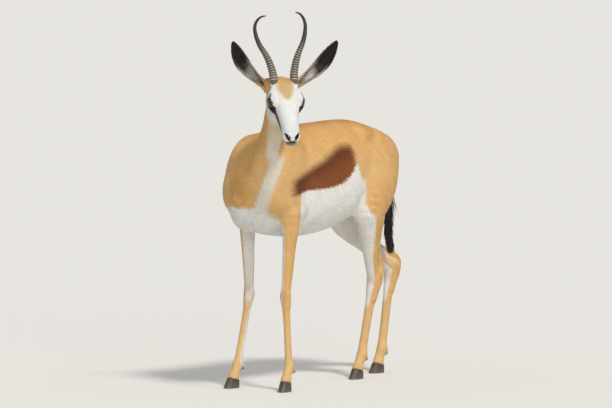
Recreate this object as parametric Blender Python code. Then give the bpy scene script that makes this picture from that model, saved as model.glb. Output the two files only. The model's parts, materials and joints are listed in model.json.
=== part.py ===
"""A springbok ewe standing with her head turned to her left, as a still, life-size model.

Metres, +Z up. She faces -Y and her left side is at +X. Places are measured from the ground
midway between the forefeet, and the empty "stance" moves the whole to the middle of its box.
The flesh is one smooth field of muscles, limbs and skull. It is meshed, thinned and parted by
thin cuts; the ears, horns, eyes, claws and tail hair are built on it.
"""

import math

import bmesh
import bpy
import numpy as np
import openvdb

MIDDLE = (0.080, 0.246)
GAP = 0.0003

# Trunk, from the breast to the tail: place, back, underline, half width, widest height, squareness.
TRUNK = (
    (-0.080, 0.602, 0.540, 0.022, 0.572, 2.0),
    (-0.062, 0.645, 0.492, 0.054, 0.572, 2.0),
    (-0.030, 0.690, 0.462, 0.076, 0.585, 2.1),
    (0.010, 0.720, 0.446, 0.089, 0.592, 2.2),
    (0.060, 0.738, 0.436, 0.097, 0.592, 2.25),
    (0.120, 0.745, 0.429, 0.104, 0.580, 2.25),
    (0.190, 0.750, 0.429, 0.110, 0.570, 2.2),
    (0.260, 0.752, 0.437, 0.113, 0.578, 2.2),
    (0.330, 0.754, 0.455, 0.110, 0.592, 2.2),
    (0.390, 0.751, 0.485, 0.100, 0.610, 2.1),
    (0.450, 0.737, 0.515, 0.090, 0.630, 2.0),
    (0.505, 0.713, 0.545, 0.076, 0.630, 2.0),
    (0.545, 0.692, 0.565, 0.052, 0.630, 2.0),
    (0.584, 0.668, 0.600, 0.024, 0.632, 2.0),
)

# Neck, from the withers to the poll: x, y, z, half width, half depth, turn to her left in degrees.
NECK = (
    (0.010, 0.030, 0.600, 0.074, 0.118, 0.0),
    (0.036, -0.002, 0.652, 0.049, 0.088, 12.0),
    (0.066, -0.022, 0.704, 0.040, 0.067, 25.0),
    (0.096, -0.038, 0.754, 0.036, 0.054, 38.0),
    (0.115, -0.048, 0.800, 0.035, 0.047, 48.0),
    (0.127, -0.047, 0.842, 0.036, 0.045, 52.0),
)

# Head: its place, its turn to her left and how far the nose points down, in degrees.
POLL = (0.135, -0.058, 0.882)
HEAD_TURN = 52.0
HEAD_NOD = 40.0
# Skull, from the poll to the nose, laid out as the trunk is, in the head's own frame.
SKULL = (
    (-0.020, 0.010, -0.014, 0.012, -0.002, 2.0),
    (-0.006, 0.026, -0.036, 0.030, -0.004, 2.0),
    (0.020, 0.038, -0.050, 0.038, -0.004, 2.2),
    (0.050, 0.044, -0.060, 0.043, 0.000, 2.3),
    (0.080, 0.042, -0.057, 0.042, 0.004, 2.3),
    (0.105, 0.036, -0.049, 0.037, 0.004, 2.3),
    (0.135, 0.029, -0.041, 0.0302, 0.000, 2.3),
    (0.165, 0.022, -0.036, 0.0262, -0.004, 2.3),
    (0.190, 0.016, -0.034, 0.0252, -0.007, 2.4),
    (0.206, 0.009, -0.031, 0.0222, -0.009, 2.3),
    (0.214, 0.000, -0.025, 0.0155, -0.010, 2.0),
    (0.218, -0.006, -0.014, 0.0040, -0.010, 2.0),
)
EYE_PLACE = (0.0385, 0.088, 0.014)
EYE_RADIUS = 0.0155
EYE_LOOK = (0.84, 0.48, 0.20)
EYE_SLANT = 38.0
LID_WIDTH = 0.0145
LID_HEIGHT = 0.0102

# Leg joints on her left and right, from the body down to the middle of the foot.
FORE_JOINTS = {
    "left": ((0.083, 0.052, 0.475), (0.084, 0.024, 0.272), (0.089, 0.032, 0.068), (0.091, 0.014, 0.022)),
    "right": ((-0.083, 0.056, 0.475), (-0.079, 0.056, 0.268), (-0.087, 0.014, 0.068),
              (-0.089, -0.006, 0.022)),
}
HIND_JOINTS = {
    "left": ((0.055, 0.482, 0.655), (0.076, 0.388, 0.487), (0.047, 0.462, 0.287), (0.031, 0.426, 0.068),
             (0.029, 0.408, 0.022)),
    "right": ((-0.055, 0.482, 0.655), (-0.070, 0.446, 0.460), (-0.031, 0.634, 0.300), (-0.031, 0.592, 0.068),
              (-0.031, 0.574, 0.022)),
}
# Flesh of a leg: bone, share of its length, shift to the rear, half width, half depth.
FORE_FLESH = (
    (0, -0.12, 0.000, 0.0250, 0.0380),
    (0, 0.10, -0.002, 0.0205, 0.0290),
    (0, 0.35, -0.002, 0.0172, 0.0228),
    (0, 0.65, 0.000, 0.0145, 0.0185),
    (0, 0.88, 0.000, 0.0130, 0.0155),
    (1, 0.00, 0.000, 0.0150, 0.0175),
    (1, 0.10, 0.001, 0.0135, 0.0158),
    (1, 0.25, 0.001, 0.0100, 0.0125),
    (1, 0.55, 0.001, 0.0092, 0.0118),
    (1, 0.86, 0.001, 0.0100, 0.0128),
    (2, 0.00, 0.002, 0.0138, 0.0162),
    (2, 0.40, 0.000, 0.0125, 0.0142),
    (2, 0.80, 0.001, 0.0150, 0.0180),
    (2, 1.15, 0.002, 0.0165, 0.0200),
)
HIND_FLESH = (
    (0, 0.12, -0.004, 0.046, 0.062),
    (0, 0.55, 0.018, 0.048, 0.074),
    (0, 0.95, 0.018, 0.040, 0.056),
    (1, 0.16, 0.016, 0.035, 0.050),
    (1, 0.42, 0.008, 0.0270, 0.0350),
    (1, 0.70, 0.000, 0.0185, 0.0235),
    (1, 0.90, 0.000, 0.0165, 0.0220),
    (2, 0.00, 0.002, 0.0185, 0.0255),
    (2, 0.12, 0.002, 0.0165, 0.0215),
    (2, 0.30, 0.001, 0.0122, 0.0165),
    (2, 0.60, 0.001, 0.0110, 0.0148),
    (2, 0.88, 0.001, 0.0115, 0.0150),
    (3, 0.00, 0.003, 0.0148, 0.0182),
    (3, 0.40, 0.000, 0.0130, 0.0150),
    (3, 0.80, 0.001, 0.0150, 0.0180),
    (3, 1.15, 0.002, 0.0165, 0.0200),
)

# Tail dock: x, y, z, half width, half depth, turn.
TAIL = (
    (0.000, 0.560, 0.662, 0.019, 0.019, 0.0),
    (0.000, 0.584, 0.654, 0.0155, 0.0150, 0.0),
    (0.000, 0.598, 0.632, 0.0120, 0.0110, 0.0),
    (0.001, 0.600, 0.590, 0.0095, 0.0090, 0.0),
    (0.001, 0.592, 0.550, 0.0085, 0.0080, 0.0),
    (0.002, 0.580, 0.500, 0.0070, 0.0065, 0.0),
    (0.004, 0.576, 0.450, 0.0055, 0.0050, 0.0),
    (0.006, 0.583, 0.405, 0.0035, 0.0035, 0.0),
)
TUFT_TOP = 0.515
LOCKS = 21

# Horns, in the head's frame turned level: out to the side, back and up, then the thickness.
HORN = (
    (0.0270, 0.004, -0.012, 0.0268),
    (0.0285, 0.000, 0.004, 0.0262),
    (0.0312, 0.008, 0.030, 0.0238),
    (0.0388, 0.018, 0.060, 0.0208),
    (0.0495, 0.028, 0.085, 0.0178),
    (0.0610, 0.038, 0.106, 0.0155),
    (0.0690, 0.046, 0.128, 0.0132),
    (0.0725, 0.052, 0.147, 0.0116),
    (0.0725, 0.055, 0.160, 0.0104),
    (0.0695, 0.056, 0.172, 0.0092),
    (0.0635, 0.055, 0.182, 0.0078),
    (0.0560, 0.052, 0.189, 0.0062),
    (0.0490, 0.048, 0.192, 0.0048),
    (0.0420, 0.043, 0.193, 0.0030),
)
HORN_PLACE = (0.0, 0.030, 0.036)
HORN_RINGS = 18
HORN_RINGED = 0.62
HORN_RISE = {"left": 1.012, "right": 0.968}

# Ears: root on the skull, tip beyond it (out, back, up), and half widths along the length.
EAR_ROOT = (0.044, -0.002, -0.005)
EAR_TIP = {"left": (0.1175, -0.020, 0.127), "right": (0.0990, -0.020, 0.130)}
EAR_FACING = -0.15
EAR_HALVES = ((0.0, 0.0130), (0.2, 0.0150), (0.4, 0.0195), (0.56, 0.0218), (0.72, 0.0200),
              (0.86, 0.0142), (0.95, 0.0075), (1.0, 0.0020))
EAR_WALL = 0.0030

# Claws: length of the sole, width of one, gap between the two, and the height of the coronet.
CLAW_LENGTH = 0.051
CLAW_WIDTH = 0.0148
CLAW_GAP = 0.0016
CORONET = 0.0270
CORONET_SLOPE = 14.0
FEET_OUT = {"foreleg_left": 16.0, "foreleg_right": 2.0, "hindleg_left": 6.0, "hindleg_right": 2.0}

# Thin cuts between the parts: a place on each and the way it faces.
NECK_CUT = ((0.030, -0.010, 0.668), (0.35, -0.62, 0.70))
HEAD_CUT = ((0.0, 0.045, -0.064), (0.0, 0.500, 0.866))
TAIL_CUT = ((0.0, 0.590, 0.642), (0.0, 0.45, -0.89))


def unit(vector):
    vector = np.asarray(vector, float)
    return vector / np.linalg.norm(vector)


def smooth_rows(rows, steps):
    """The rows with more between them, along a smooth curve through all of them."""
    rows = np.asarray(rows, float)
    ends = np.vstack([2 * rows[0] - rows[1], rows, 2 * rows[-1] - rows[-2]])
    found = []
    for before, start, stop, after in zip(ends, ends[1:], ends[2:], ends[3:]):
        for t in np.arange(steps) / steps:
            bend = 2 * before - 5 * start + 4 * stop - after
            twist = 3 * start - before - 3 * stop + after
            found.append(start + 0.5 * t * (stop - before + t * (bend + t * twist)))
    found.append(rows[-1])
    return np.array(found)


def head_frame():
    """Rows: to her left across the head, along it to the nose, and up out of the forehead."""
    turn, nod = math.radians(HEAD_TURN), math.radians(HEAD_NOD)
    level = np.array([math.sin(turn), -math.cos(turn), 0.0])
    left = np.array([math.cos(turn), math.sin(turn), 0.0])
    nose = level * math.cos(nod) + np.array([0, 0, -math.sin(nod)])
    return np.array([left, nose, np.cross(nose, left)])


HEAD_AXES = head_frame()
LEVEL_AXES = np.array([HEAD_AXES[0], np.cross((0, 0, 1), HEAD_AXES[0]), (0, 0, 1)])


def on_head(place):
    """A place in the head's frame, as a place beside the body."""
    return np.asarray(POLL) + np.asarray(place, float) @ HEAD_AXES


# Shapes of the field: each gives a signed distance, negative inside.


class Ball:
    """An ellipsoid, turned by the axes in its rows."""

    def __init__(self, centre, radii, axes=None):
        self.centre = np.asarray(centre, float)
        self.radii = np.asarray(radii, float)
        self.axes = np.eye(3) if axes is None else np.asarray(axes, float)

    def __call__(self, points):
        local = (points - self.centre) @ self.axes.T
        near = np.linalg.norm(local / self.radii, axis=1)
        slope = np.linalg.norm(local / self.radii**2, axis=1)
        return near * (near - 1) / np.maximum(slope, 1e-6)


class Limb:
    """Flesh round a smooth curve: x, y, z, half width, half depth, turn of the width in degrees."""

    def __init__(self, rows, steps=4):
        rows = smooth_rows(rows, steps)
        turn = np.radians(rows[:, 5])
        self.points, self.sizes = rows[:, :3], rows[:, 3:5]
        along = np.gradient(self.points, axis=0)
        along /= np.linalg.norm(along, axis=1)[:, None]
        side = np.stack([np.cos(turn), np.sin(turn), 0 * turn], 1)
        side -= along * np.sum(side * along, 1)[:, None]
        side /= np.linalg.norm(side, axis=1)[:, None]
        self.frames = np.stack([side, np.cross(along, side), along], 1)

    def __call__(self, points):
        nearest = np.full(len(points), 9.0)
        for i, (start, stop) in enumerate(zip(self.points, self.points[1:])):
            along = stop - start
            length = np.linalg.norm(along)
            along = along / length
            off = points - start
            share = np.clip(off @ along / length, 0, 1)[:, None]
            off = off - share * length * along
            far = np.linalg.norm(off, axis=1)
            frame, after = self.frames[i], self.frames[i + 1]
            local = (off @ frame.T) * (1 - share) + (off @ after.T) * share
            size = self.sizes[i] * (1 - share) + self.sizes[i + 1] * share
            around = np.hypot(local[:, 0] / size[:, 0], local[:, 1] / size[:, 1])
            reach = (np.hypot(local[:, 0], local[:, 1]) + 1e-7) / (around + 1e-7 / size.min(axis=1))
            ratio = np.hypot(around, local[:, 2] / reach)
            nearest = np.minimum(nearest, far - far / np.maximum(ratio, 1e-6))
        return nearest


class Hull:
    """Egg-shaped sections along one axis: place, top, bottom, half width, widest, squareness."""

    def __init__(self, rows, origin=(0, 0, 0), axes=None):
        self.table = smooth_rows(rows, 6).T
        self.origin = np.asarray(origin, float)
        self.axes = np.eye(3) if axes is None else axes

    def __call__(self, points):
        local = (points - self.origin) @ self.axes.T
        place = np.clip(local[:, 1], self.table[0, 0], self.table[0, -1])
        top, bottom, half, widest, power = (
            np.interp(place, self.table[0], column) for column in self.table[1:])
        across, up = np.abs(local[:, 0]), local[:, 2] - widest
        reach = np.where(up > 0, top - widest, widest - bottom)
        ratio = ((across / half) ** power + (np.abs(up) / reach) ** power) ** (1 / power)
        far = np.hypot(across, up)
        value = far - far / np.maximum(ratio, 1e-6)
        beyond = np.abs(local[:, 1] - place)
        return np.where(beyond > 0, np.hypot(np.maximum(value, 0), beyond), value)


class Almond:
    """The opening between the lids: a leaf shape carried out along the look of the eye."""

    def __init__(self, centre, axes, width, height):
        self.centre, self.axes = np.asarray(centre), axes
        self.width, self.height = width, height

    def __call__(self, points):
        local = (points - self.centre) @ self.axes.T
        leaf = self.height * (1 - (local[:, 0] / self.width) ** 2)
        value = (np.abs(local[:, 1]) - leaf) / 1.3
        return np.maximum(value, 0.006 - local[:, 2])


def soft_least(a, b, blend):
    """The least of two fields, with a fillet of about that size where they meet."""
    near = np.maximum(blend - np.abs(a - b), 0) / blend
    return np.minimum(a, b) - near * near * blend / 4


class Flesh:
    """Shapes joined, or cut away, one after another, each with its own fillet."""

    def __init__(self):
        self.steps = []

    def add(self, shape, blend):
        self.steps.append((1, shape, blend))

    def cut(self, shape, blend):
        self.steps.append((-1, shape, blend))

    def near(self, centres, reach):
        """For each centre, which shapes matter within reach of it."""
        return np.array([shape(centres) < reach + blend for _, shape, blend in self.steps])

    def value(self, points, chosen=None):
        found = np.full(len(points), 9.0)
        for i, (sign, shape, blend) in enumerate(self.steps):
            if chosen is not None and not chosen[i]:
                continue
            if sign > 0:
                found = soft_least(found, shape(points), blend)
            else:
                found = -soft_least(-found, shape(points), blend)
        return found


def both(place):
    """The place on her left and the same on her right."""
    x, y, z = place
    return (x, y, z), (-x, y, z)


def tilted(degrees):
    """Axes leaning back at the top by that angle, about the line across the body."""
    turn = math.radians(degrees)
    return np.array([[1, 0, 0], [0, math.cos(turn), -math.sin(turn)], [0, math.sin(turn), math.cos(turn)]])


def leg_rows(joints, flesh):
    rows = []
    for bone, share, back, width, depth in flesh:
        start, stop = np.array(joints[bone]), np.array(joints[bone + 1])
        x, y, z = start + (stop - start) * share
        rows.append((x, y + back, z, width, depth, 0.0))
    return rows


def add_trunk(flesh):
    flesh.add(Hull(TRUNK), 0.02)
    flesh.add(Limb(NECK), 0.045)
    flesh.add(Ball((0, -0.044, 0.510), (0.055, 0.036, 0.052)), 0.03)
    for place in both((0.073, 0.028, 0.628)):
        flesh.add(Ball(place, (0.033, 0.058, 0.092), tilted(20)), 0.050)
    for place in both((0.064, -0.018, 0.556)):
        flesh.add(Ball(place, (0.032, 0.040, 0.050)), 0.03)
    for place in both((0.080, 0.046, 0.528)):
        flesh.add(Ball(place, (0.026, 0.058, 0.048), tilted(30)), 0.03)
    for place in both((0.052, 0.455, 0.660)):
        flesh.add(Ball(place, (0.042, 0.078, 0.054), tilted(10)), 0.035)
    for place in both((0.046, 0.490, 0.600)):
        flesh.add(Ball(place, (0.042, 0.052, 0.080), tilted(12)), 0.035)
    for place in both((0.058, 0.395, 0.708)):
        flesh.add(Ball(place, (0.022, 0.026, 0.018)), 0.03)
    flesh.add(Limb(TAIL[:6]), 0.010)


def add_legs(flesh):
    for side in ("left", "right"):
        flesh.add(Limb(leg_rows(FORE_JOINTS[side], FORE_FLESH)), 0.022)
        flesh.add(Limb(leg_rows(HIND_JOINTS[side], HIND_FLESH)), 0.030)
        _, stifle, hock, fetlock, _ = (np.array(joint) for joint in HIND_JOINTS[side])
        heel = hock + (0, 0.030, 0.020)
        calf = hock + (stifle - hock) * 0.66 + (0, 0.026, 0.000)
        shank = hock + (fetlock - hock) * 0.25 + (0, 0.008, 0)
        tendon = ((*calf, 0.015, 0.022, 0), (*(calf * 0.5 + heel * 0.5), 0.0095, 0.012, 0),
                  (*heel, 0.0105, 0.0125, 0), (*shank, 0.010, 0.011, 0))
        flesh.add(Limb(tendon), 0.014)
        for joints in (FORE_JOINTS[side], HIND_JOINTS[side]):
            x, y, z = joints[-2]
            for across in (-0.007, 0.007):
                flesh.add(Ball((x + across, y + 0.015, z - 0.008), (0.0048, 0.0062, 0.0075)), 0.004)


def eye_axes(side):
    """Rows: along the lids from the inner corner, across them, and out along the look."""
    look = unit((side * EYE_LOOK[0], EYE_LOOK[1], EYE_LOOK[2]) @ HEAD_AXES)
    slant = math.radians(EYE_SLANT)
    along = np.array([0, -math.cos(slant), math.sin(slant)]) @ HEAD_AXES
    along = unit(along - look * (along @ look))
    return np.array([along, np.cross(look, along), look])


def add_head(flesh):
    def ball(place, radii, blend):
        for side in (1, -1):
            flesh.add(Ball(on_head((side * place[0], place[1], place[2])), radii, HEAD_AXES), blend)

    flesh.add(Hull(SKULL, POLL, HEAD_AXES), 0.022)
    ball((0.030, 0.050, -0.028), (0.014, 0.040, 0.028), 0.014)
    ball((0.037, 0.072, -0.004), (0.009, 0.034, 0.009), 0.012)
    ball((0.036, 0.070, 0.026), (0.012, 0.022, 0.011), 0.012)
    ball((0.026, 0.030, 0.034), (0.015, 0.016, 0.014), 0.012)
    ball((0.037, -0.002, 0.002), (0.0145, 0.0155, 0.0175), 0.012)
    ball((0.0115, 0.197, -0.012), (0.0135, 0.018, 0.013), 0.008)
    ball((0.008, 0.203, 0.000), (0.009, 0.012, 0.008), 0.006)
    ball((0.006, 0.192, -0.031), (0.010, 0.021, 0.010), 0.008)
    for side in (1, -1):
        centre = on_head((side * EYE_PLACE[0], EYE_PLACE[1], EYE_PLACE[2]))
        axes = eye_axes(side)
        flesh.add(Ball(centre, (0.0190, 0.0185, EYE_RADIUS + 0.0024), axes), 0.011)
        flesh.cut(Almond(centre, axes, LID_WIDTH, LID_HEIGHT), 0.0015)
        nostril = on_head((side * 0.0118, 0.2090, -0.001))
        flare = unit((side * 0.75, -0.30, 0.55) @ HEAD_AXES)
        inward = unit(np.cross(flare, HEAD_AXES[0]))
        flesh.cut(Ball(nostril, (0.0095, 0.0046, 0.0038), (flare, inward, np.cross(flare, inward))), 0.002)
        lips = [(side * x, y, z) for x, y, z in (
            (0.000, 0.2160, -0.0170), (0.0115, 0.2125, -0.0190), (0.0212, 0.1975, -0.0205),
            (0.0258, 0.1780, -0.0205), (0.0278, 0.1600, -0.0180))]
        rows = [(*on_head(place), 0.0025, 0.0022, HEAD_TURN) for place in lips]
        flesh.cut(Limb(rows, 3), 0.002)


def whole_flesh():
    flesh = Flesh()
    add_trunk(flesh)
    add_legs(flesh)
    add_head(flesh)
    return flesh


# Meshing and cutting.
BLOCK = 16


def meshed(flesh, low, high, step, level=0.0):
    """Points and quads of the flesh's surface inside a box, on a grid of that step."""
    low = np.asarray(low, float)
    count = (np.ceil((np.asarray(high) - low) / step / BLOCK).astype(int)) * BLOCK
    field = np.full(count, 3 * step, np.float32)
    corners = np.stack(np.meshgrid(*(np.arange(0, n, BLOCK) for n in count), indexing="ij"), -1)
    corners = corners.reshape(-1, 3)
    centres = low + (corners + BLOCK / 2) * step
    radius = BLOCK * step * 0.87
    rough = flesh.value(centres)
    chosen = flesh.near(centres, radius * 1.5 + abs(level))
    cells = np.stack(np.meshgrid(*(np.arange(BLOCK),) * 3, indexing="ij"), -1).reshape(-1, 3)
    for n, corner in enumerate(corners):
        i, j, k = corner
        block = field[i:i + BLOCK, j:j + BLOCK, k:k + BLOCK]
        if rough[n] < -1.6 * radius:
            block[:] = -3 * step
        elif rough[n] < 1.6 * radius and chosen[:, n].any():
            values = flesh.value(low + (corner + cells) * step, chosen[:, n]) - level
            block[:] = np.clip(values, -3 * step, 3 * step).reshape(block.shape)
    for side in (0, -1):
        field[side], field[:, side], field[:, :, side] = 3 * step, 3 * step, 3 * step
    grid = openvdb.FloatGrid(3 * step)
    grid.copyFromArray(field)
    points, quads = grid.convertToQuads(0.0)
    return points * step + low, quads


def solid(name, points, faces):
    mesh = bpy.data.meshes.new(name)
    mesh.from_pydata([tuple(point) for point in np.asarray(points).tolist()], [],
                     [tuple(face) for face in faces])
    mesh.update()
    piece = bpy.data.objects.new(name, mesh)
    bpy.context.collection.objects.link(piece)
    return piece


def remove(piece):
    mesh = piece.data
    bpy.data.objects.remove(piece)
    bpy.data.meshes.remove(mesh)


def apply(piece):
    """Puts the modifiers' result in the object's own mesh."""
    graph = bpy.context.evaluated_depsgraph_get()
    mesh = bpy.data.meshes.new_from_object(piece.evaluated_get(graph), depsgraph=graph)
    mesh.name = piece.name
    old = piece.data
    piece.modifiers.clear()
    piece.data = mesh
    bpy.data.meshes.remove(old)


def thinned(piece, triangles):
    faces = sum(len(face.vertices) - 2 for face in piece.data.polygons)
    modifier = piece.modifiers.new("thin", "DECIMATE")
    modifier.ratio = triangles / faces
    apply(piece)


def boolean(piece, other, operation):
    modifier = piece.modifiers.new("cut", "BOOLEAN")
    modifier.operation = operation
    modifier.solver = "EXACT"
    modifier.object = other
    apply(piece)


def largest(piece):
    """Keeps the largest closed surface of the piece."""
    shape = bmesh.new()
    shape.from_mesh(piece.data)
    bmesh.ops.dissolve_degenerate(shape, dist=1e-6, edges=shape.edges)
    left = set(shape.verts)
    groups = []
    while left:
        group, queue = set(), [left.pop()]
        while queue:
            vertex = queue.pop()
            group.add(vertex)
            for edge in vertex.link_edges:
                other = edge.other_vert(vertex)
                if other in left:
                    left.remove(other)
                    queue.append(other)
        groups.append(group)
    groups.sort(key=len, reverse=True)
    for group in groups[1:]:
        bmesh.ops.delete(shape, geom=list(group), context="VERTS")
    bmesh.ops.triangulate(shape, faces=shape.faces)
    bmesh.ops.recalc_face_normals(shape, faces=shape.faces)
    shape.to_mesh(piece.data)
    shape.free()


def bounded(name, planes, grow=0.0):
    """The convex solid inside the planes, each a place and the way out, moved out by grow."""
    planes = [(unit(way), unit(way) @ np.asarray(place, float) + grow) for place, way in planes]
    corners = []
    for i, (a, reach_a) in enumerate(planes):
        for j, (b, reach_b) in enumerate(planes[:i]):
            for c, reach_c in planes[:j]:
                matrix = np.array([a, b, c])
                if abs(np.linalg.det(matrix)) < 1e-6:
                    continue
                corner = np.linalg.solve(matrix, (reach_a, reach_b, reach_c))
                if all(way @ corner < reach + 1e-9 for way, reach in planes):
                    corners.append(corner)
    shape = bmesh.new()
    for corner in corners:
        shape.verts.new(corner)
    bmesh.ops.remove_doubles(shape, verts=shape.verts, dist=1e-7)
    bmesh.ops.convex_hull(shape, input=shape.verts)
    bmesh.ops.dissolve_limit(shape, angle_limit=1e-4, verts=shape.verts, edges=shape.edges)
    bmesh.ops.recalc_face_normals(shape, faces=shape.faces)
    mesh = bpy.data.meshes.new(name)
    shape.to_mesh(mesh)
    shape.free()
    piece = bpy.data.objects.new(name, mesh)
    bpy.context.collection.objects.link(piece)
    return piece


def parted(body, name, planes):
    """Parts off what lies inside the planes as a new object, a thin gap away from the body."""
    piece = bpy.data.objects.new(name, body.data.copy())
    bpy.context.collection.objects.link(piece)
    inside = bounded("inside", planes)
    boolean(piece, inside, "INTERSECT")
    remove(inside)
    outside = bounded("outside", planes, GAP)
    boolean(body, outside, "DIFFERENCE")
    remove(outside)
    largest(piece)
    return piece


def box_planes(low, high):
    return [((high[0], 0, 0), (1, 0, 0)), ((low[0], 0, 0), (-1, 0, 0)),
            ((0, high[1], 0), (0, 1, 0)), ((0, low[1], 0), (0, -1, 0)),
            ((0, 0, high[2]), (0, 0, 1)), ((0, 0, low[2]), (0, 0, -1))]


def swollen(piece, amount):
    """A copy of the piece with its surface moved out by that amount."""
    copy = bpy.data.objects.new("swollen", piece.data.copy())
    bpy.context.collection.objects.link(copy)
    for vertex, normal in zip(copy.data.vertices, [v.normal.copy() for v in piece.data.vertices]):
        vertex.co += normal * amount
    return copy


def ringed(name, rings, tip=None):
    """A closed solid through the rings of points, ending in the tip where one is given."""
    sides = len(rings[0])
    points = [point for ring in rings for point in ring]
    faces = [tuple(range(sides))[::-1]]
    for row in range(len(rings) - 1):
        for i in range(sides):
            j = (i + 1) % sides
            faces.append((row * sides + i, row * sides + j, (row + 1) * sides + j, (row + 1) * sides + i))
    last = (len(rings) - 1) * sides
    if tip is None:
        faces.append(tuple(range(last, last + sides)))
    else:
        points.append(tip)
        faces += [(last + i, last + (i + 1) % sides, len(points) - 1) for i in range(sides)]
    piece = solid(name, points, faces)
    shape = bmesh.new()
    shape.from_mesh(piece.data)
    bmesh.ops.triangulate(shape, faces=shape.faces)
    bmesh.ops.recalc_face_normals(shape, faces=shape.faces)
    shape.to_mesh(piece.data)
    shape.free()
    return piece


def horn(name, side):
    rows = smooth_rows(HORN, 6)
    middle = on_head(HORN_PLACE)
    line = middle + (rows[:, :3] * (side, 1, HORN_RISE["left" if side > 0 else "right"])) @ LEVEL_AXES
    travel = np.concatenate([[0], np.cumsum(np.linalg.norm(np.diff(line, axis=0), axis=1))])
    ringed_part = np.linspace(0.09, HORN_RINGED, 2 * HORN_RINGS + 1)
    shares = np.concatenate([[0, 0.05], ringed_part, np.linspace(HORN_RINGED + 0.04, 1, 12)])
    table = np.column_stack([np.interp(shares * travel[-1], travel, column)
                             for column in (*line.T, rows[:, 3])])
    along = np.gradient(table[:, :3], axis=0)
    rings = []
    for number, (row, way) in enumerate(zip(table, along)):
        way = unit(way)
        across = unit(LEVEL_AXES[1] - way * (LEVEL_AXES[1] @ way))
        other = np.cross(way, across)
        ridge = 0.05 * (-1) ** number if 2 <= number <= 2 * HORN_RINGS + 1 else 0.0
        radius = row[3] / 2 * (1 + ridge)
        rings.append([row[:3] + radius * (1.08 * math.cos(turn) * across + 0.93 * math.sin(turn) * other)
                      for turn in np.arange(10) * math.tau / 10])
    return ringed(name, rings[:-1], table[-1, :3])


def ear(name, side):
    """A leaf-shaped cup on a rolled root, open to the front."""
    root = on_head((side * EAR_ROOT[0], EAR_ROOT[1], EAR_ROOT[2]))
    out, back, up = EAR_TIP["left" if side > 0 else "right"]
    reach = np.array((side * out, back, up)) @ LEVEL_AXES
    length, rise = np.linalg.norm(reach), unit(reach)
    front = -LEVEL_AXES[1] + EAR_FACING * HEAD_AXES[0]
    front = unit(front - rise * (front @ rise))
    wide = np.cross(rise, front)
    table = np.array(EAR_HALVES).T
    rings = []
    for share in np.linspace(-0.17, 0.985, 17):
        half = np.interp(share, table[0], table[1])
        roll = 2.25 * (1 - max(share, 0)) ** 1.6 + 0.62
        wall = EAR_WALL * (1.35 - 0.55 * share)
        bend = 0.010 * math.sin(math.pi * max(share, 0)) - 0.004 * share
        bow = 0.014 * math.sin(math.pi * max(share, 0))
        middle = root + rise * length * share - front * bend + side * bow * wide
        radius = half / math.sin(min(roll, math.pi / 2))
        angles = np.linspace(-roll, roll, 8)
        shift = front * radius * math.cos(min(roll, math.pi / 2))
        rings.append([middle + shift + span * (math.sin(t) * wide - math.cos(t) * front)
                      for span, turns in ((radius, angles), (radius - wall, angles[::-1])) for t in turns])
    return ringed(name, rings, root + reach)


def claw(name, place, side, turn):
    """One of the two claws of a foot: flat below, pointed in front, with the coronet on top."""
    slope = math.tan(math.radians(CORONET_SLOPE))
    outline = [(-0.50, 0.55), (-0.44, 0.85), (-0.26, 1.00), (0.00, 1.00), (0.22, 0.88), (0.38, 0.62),
               (0.50, 0.12), (0.46, 0.00), (0.20, 0.00), (-0.20, 0.00), (-0.46, 0.00)]
    rings = []
    for share in (0.0, 0.08, 0.40, 0.75, 1.0):
        length = CLAW_LENGTH * (1 - 0.32 * share - (0.03 if share == 0 else 0))
        middle = 0.008 - 0.0085 * share
        width = CLAW_WIDTH * (0.94 + 0.06 * math.sin(math.pi * min(1, share + 0.2)))
        ring = []
        for along, out in outline:
            forward = middle + length * along
            height = (CORONET - GAP + slope * (forward - 0.004)) * share
            across = side * (CLAW_GAP / 2 + width * out)
            ring.append((place[0] + across * math.cos(turn) + forward * math.sin(turn),
                         place[1] + across * math.sin(turn) - forward * math.cos(turn), height))
        rings.append(ring)
    return ringed(name, rings)


def lock(name, root, way, length, half, thick, sag, curl):
    """A flat, tapered lock of hair that bends as it hangs."""
    way = unit(way)
    across = unit(np.cross(way, (0.3, 0.8, 0.5)))
    line, point = [], np.asarray(root, float)
    steps = 4
    for row in range(steps + 1):
        line.append(point)
        way = unit(way + np.array((0, 0, -sag)) / steps + across * curl / steps)
        point = point + way * length / steps
    rings = []
    for row, point in enumerate(line[:-1]):
        share = row / steps
        size = half * (0.72 + 0.5 * share) * (1 - share**2.2)
        flat = np.cross(unit(line[row + 1] - point), across)
        rings.append([point + across * size, point + flat * thick * (1 - 0.5 * share),
                      point - across * size, point - flat * thick * (1 - 0.5 * share)])
    return ringed(name, rings, line[-1])


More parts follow.
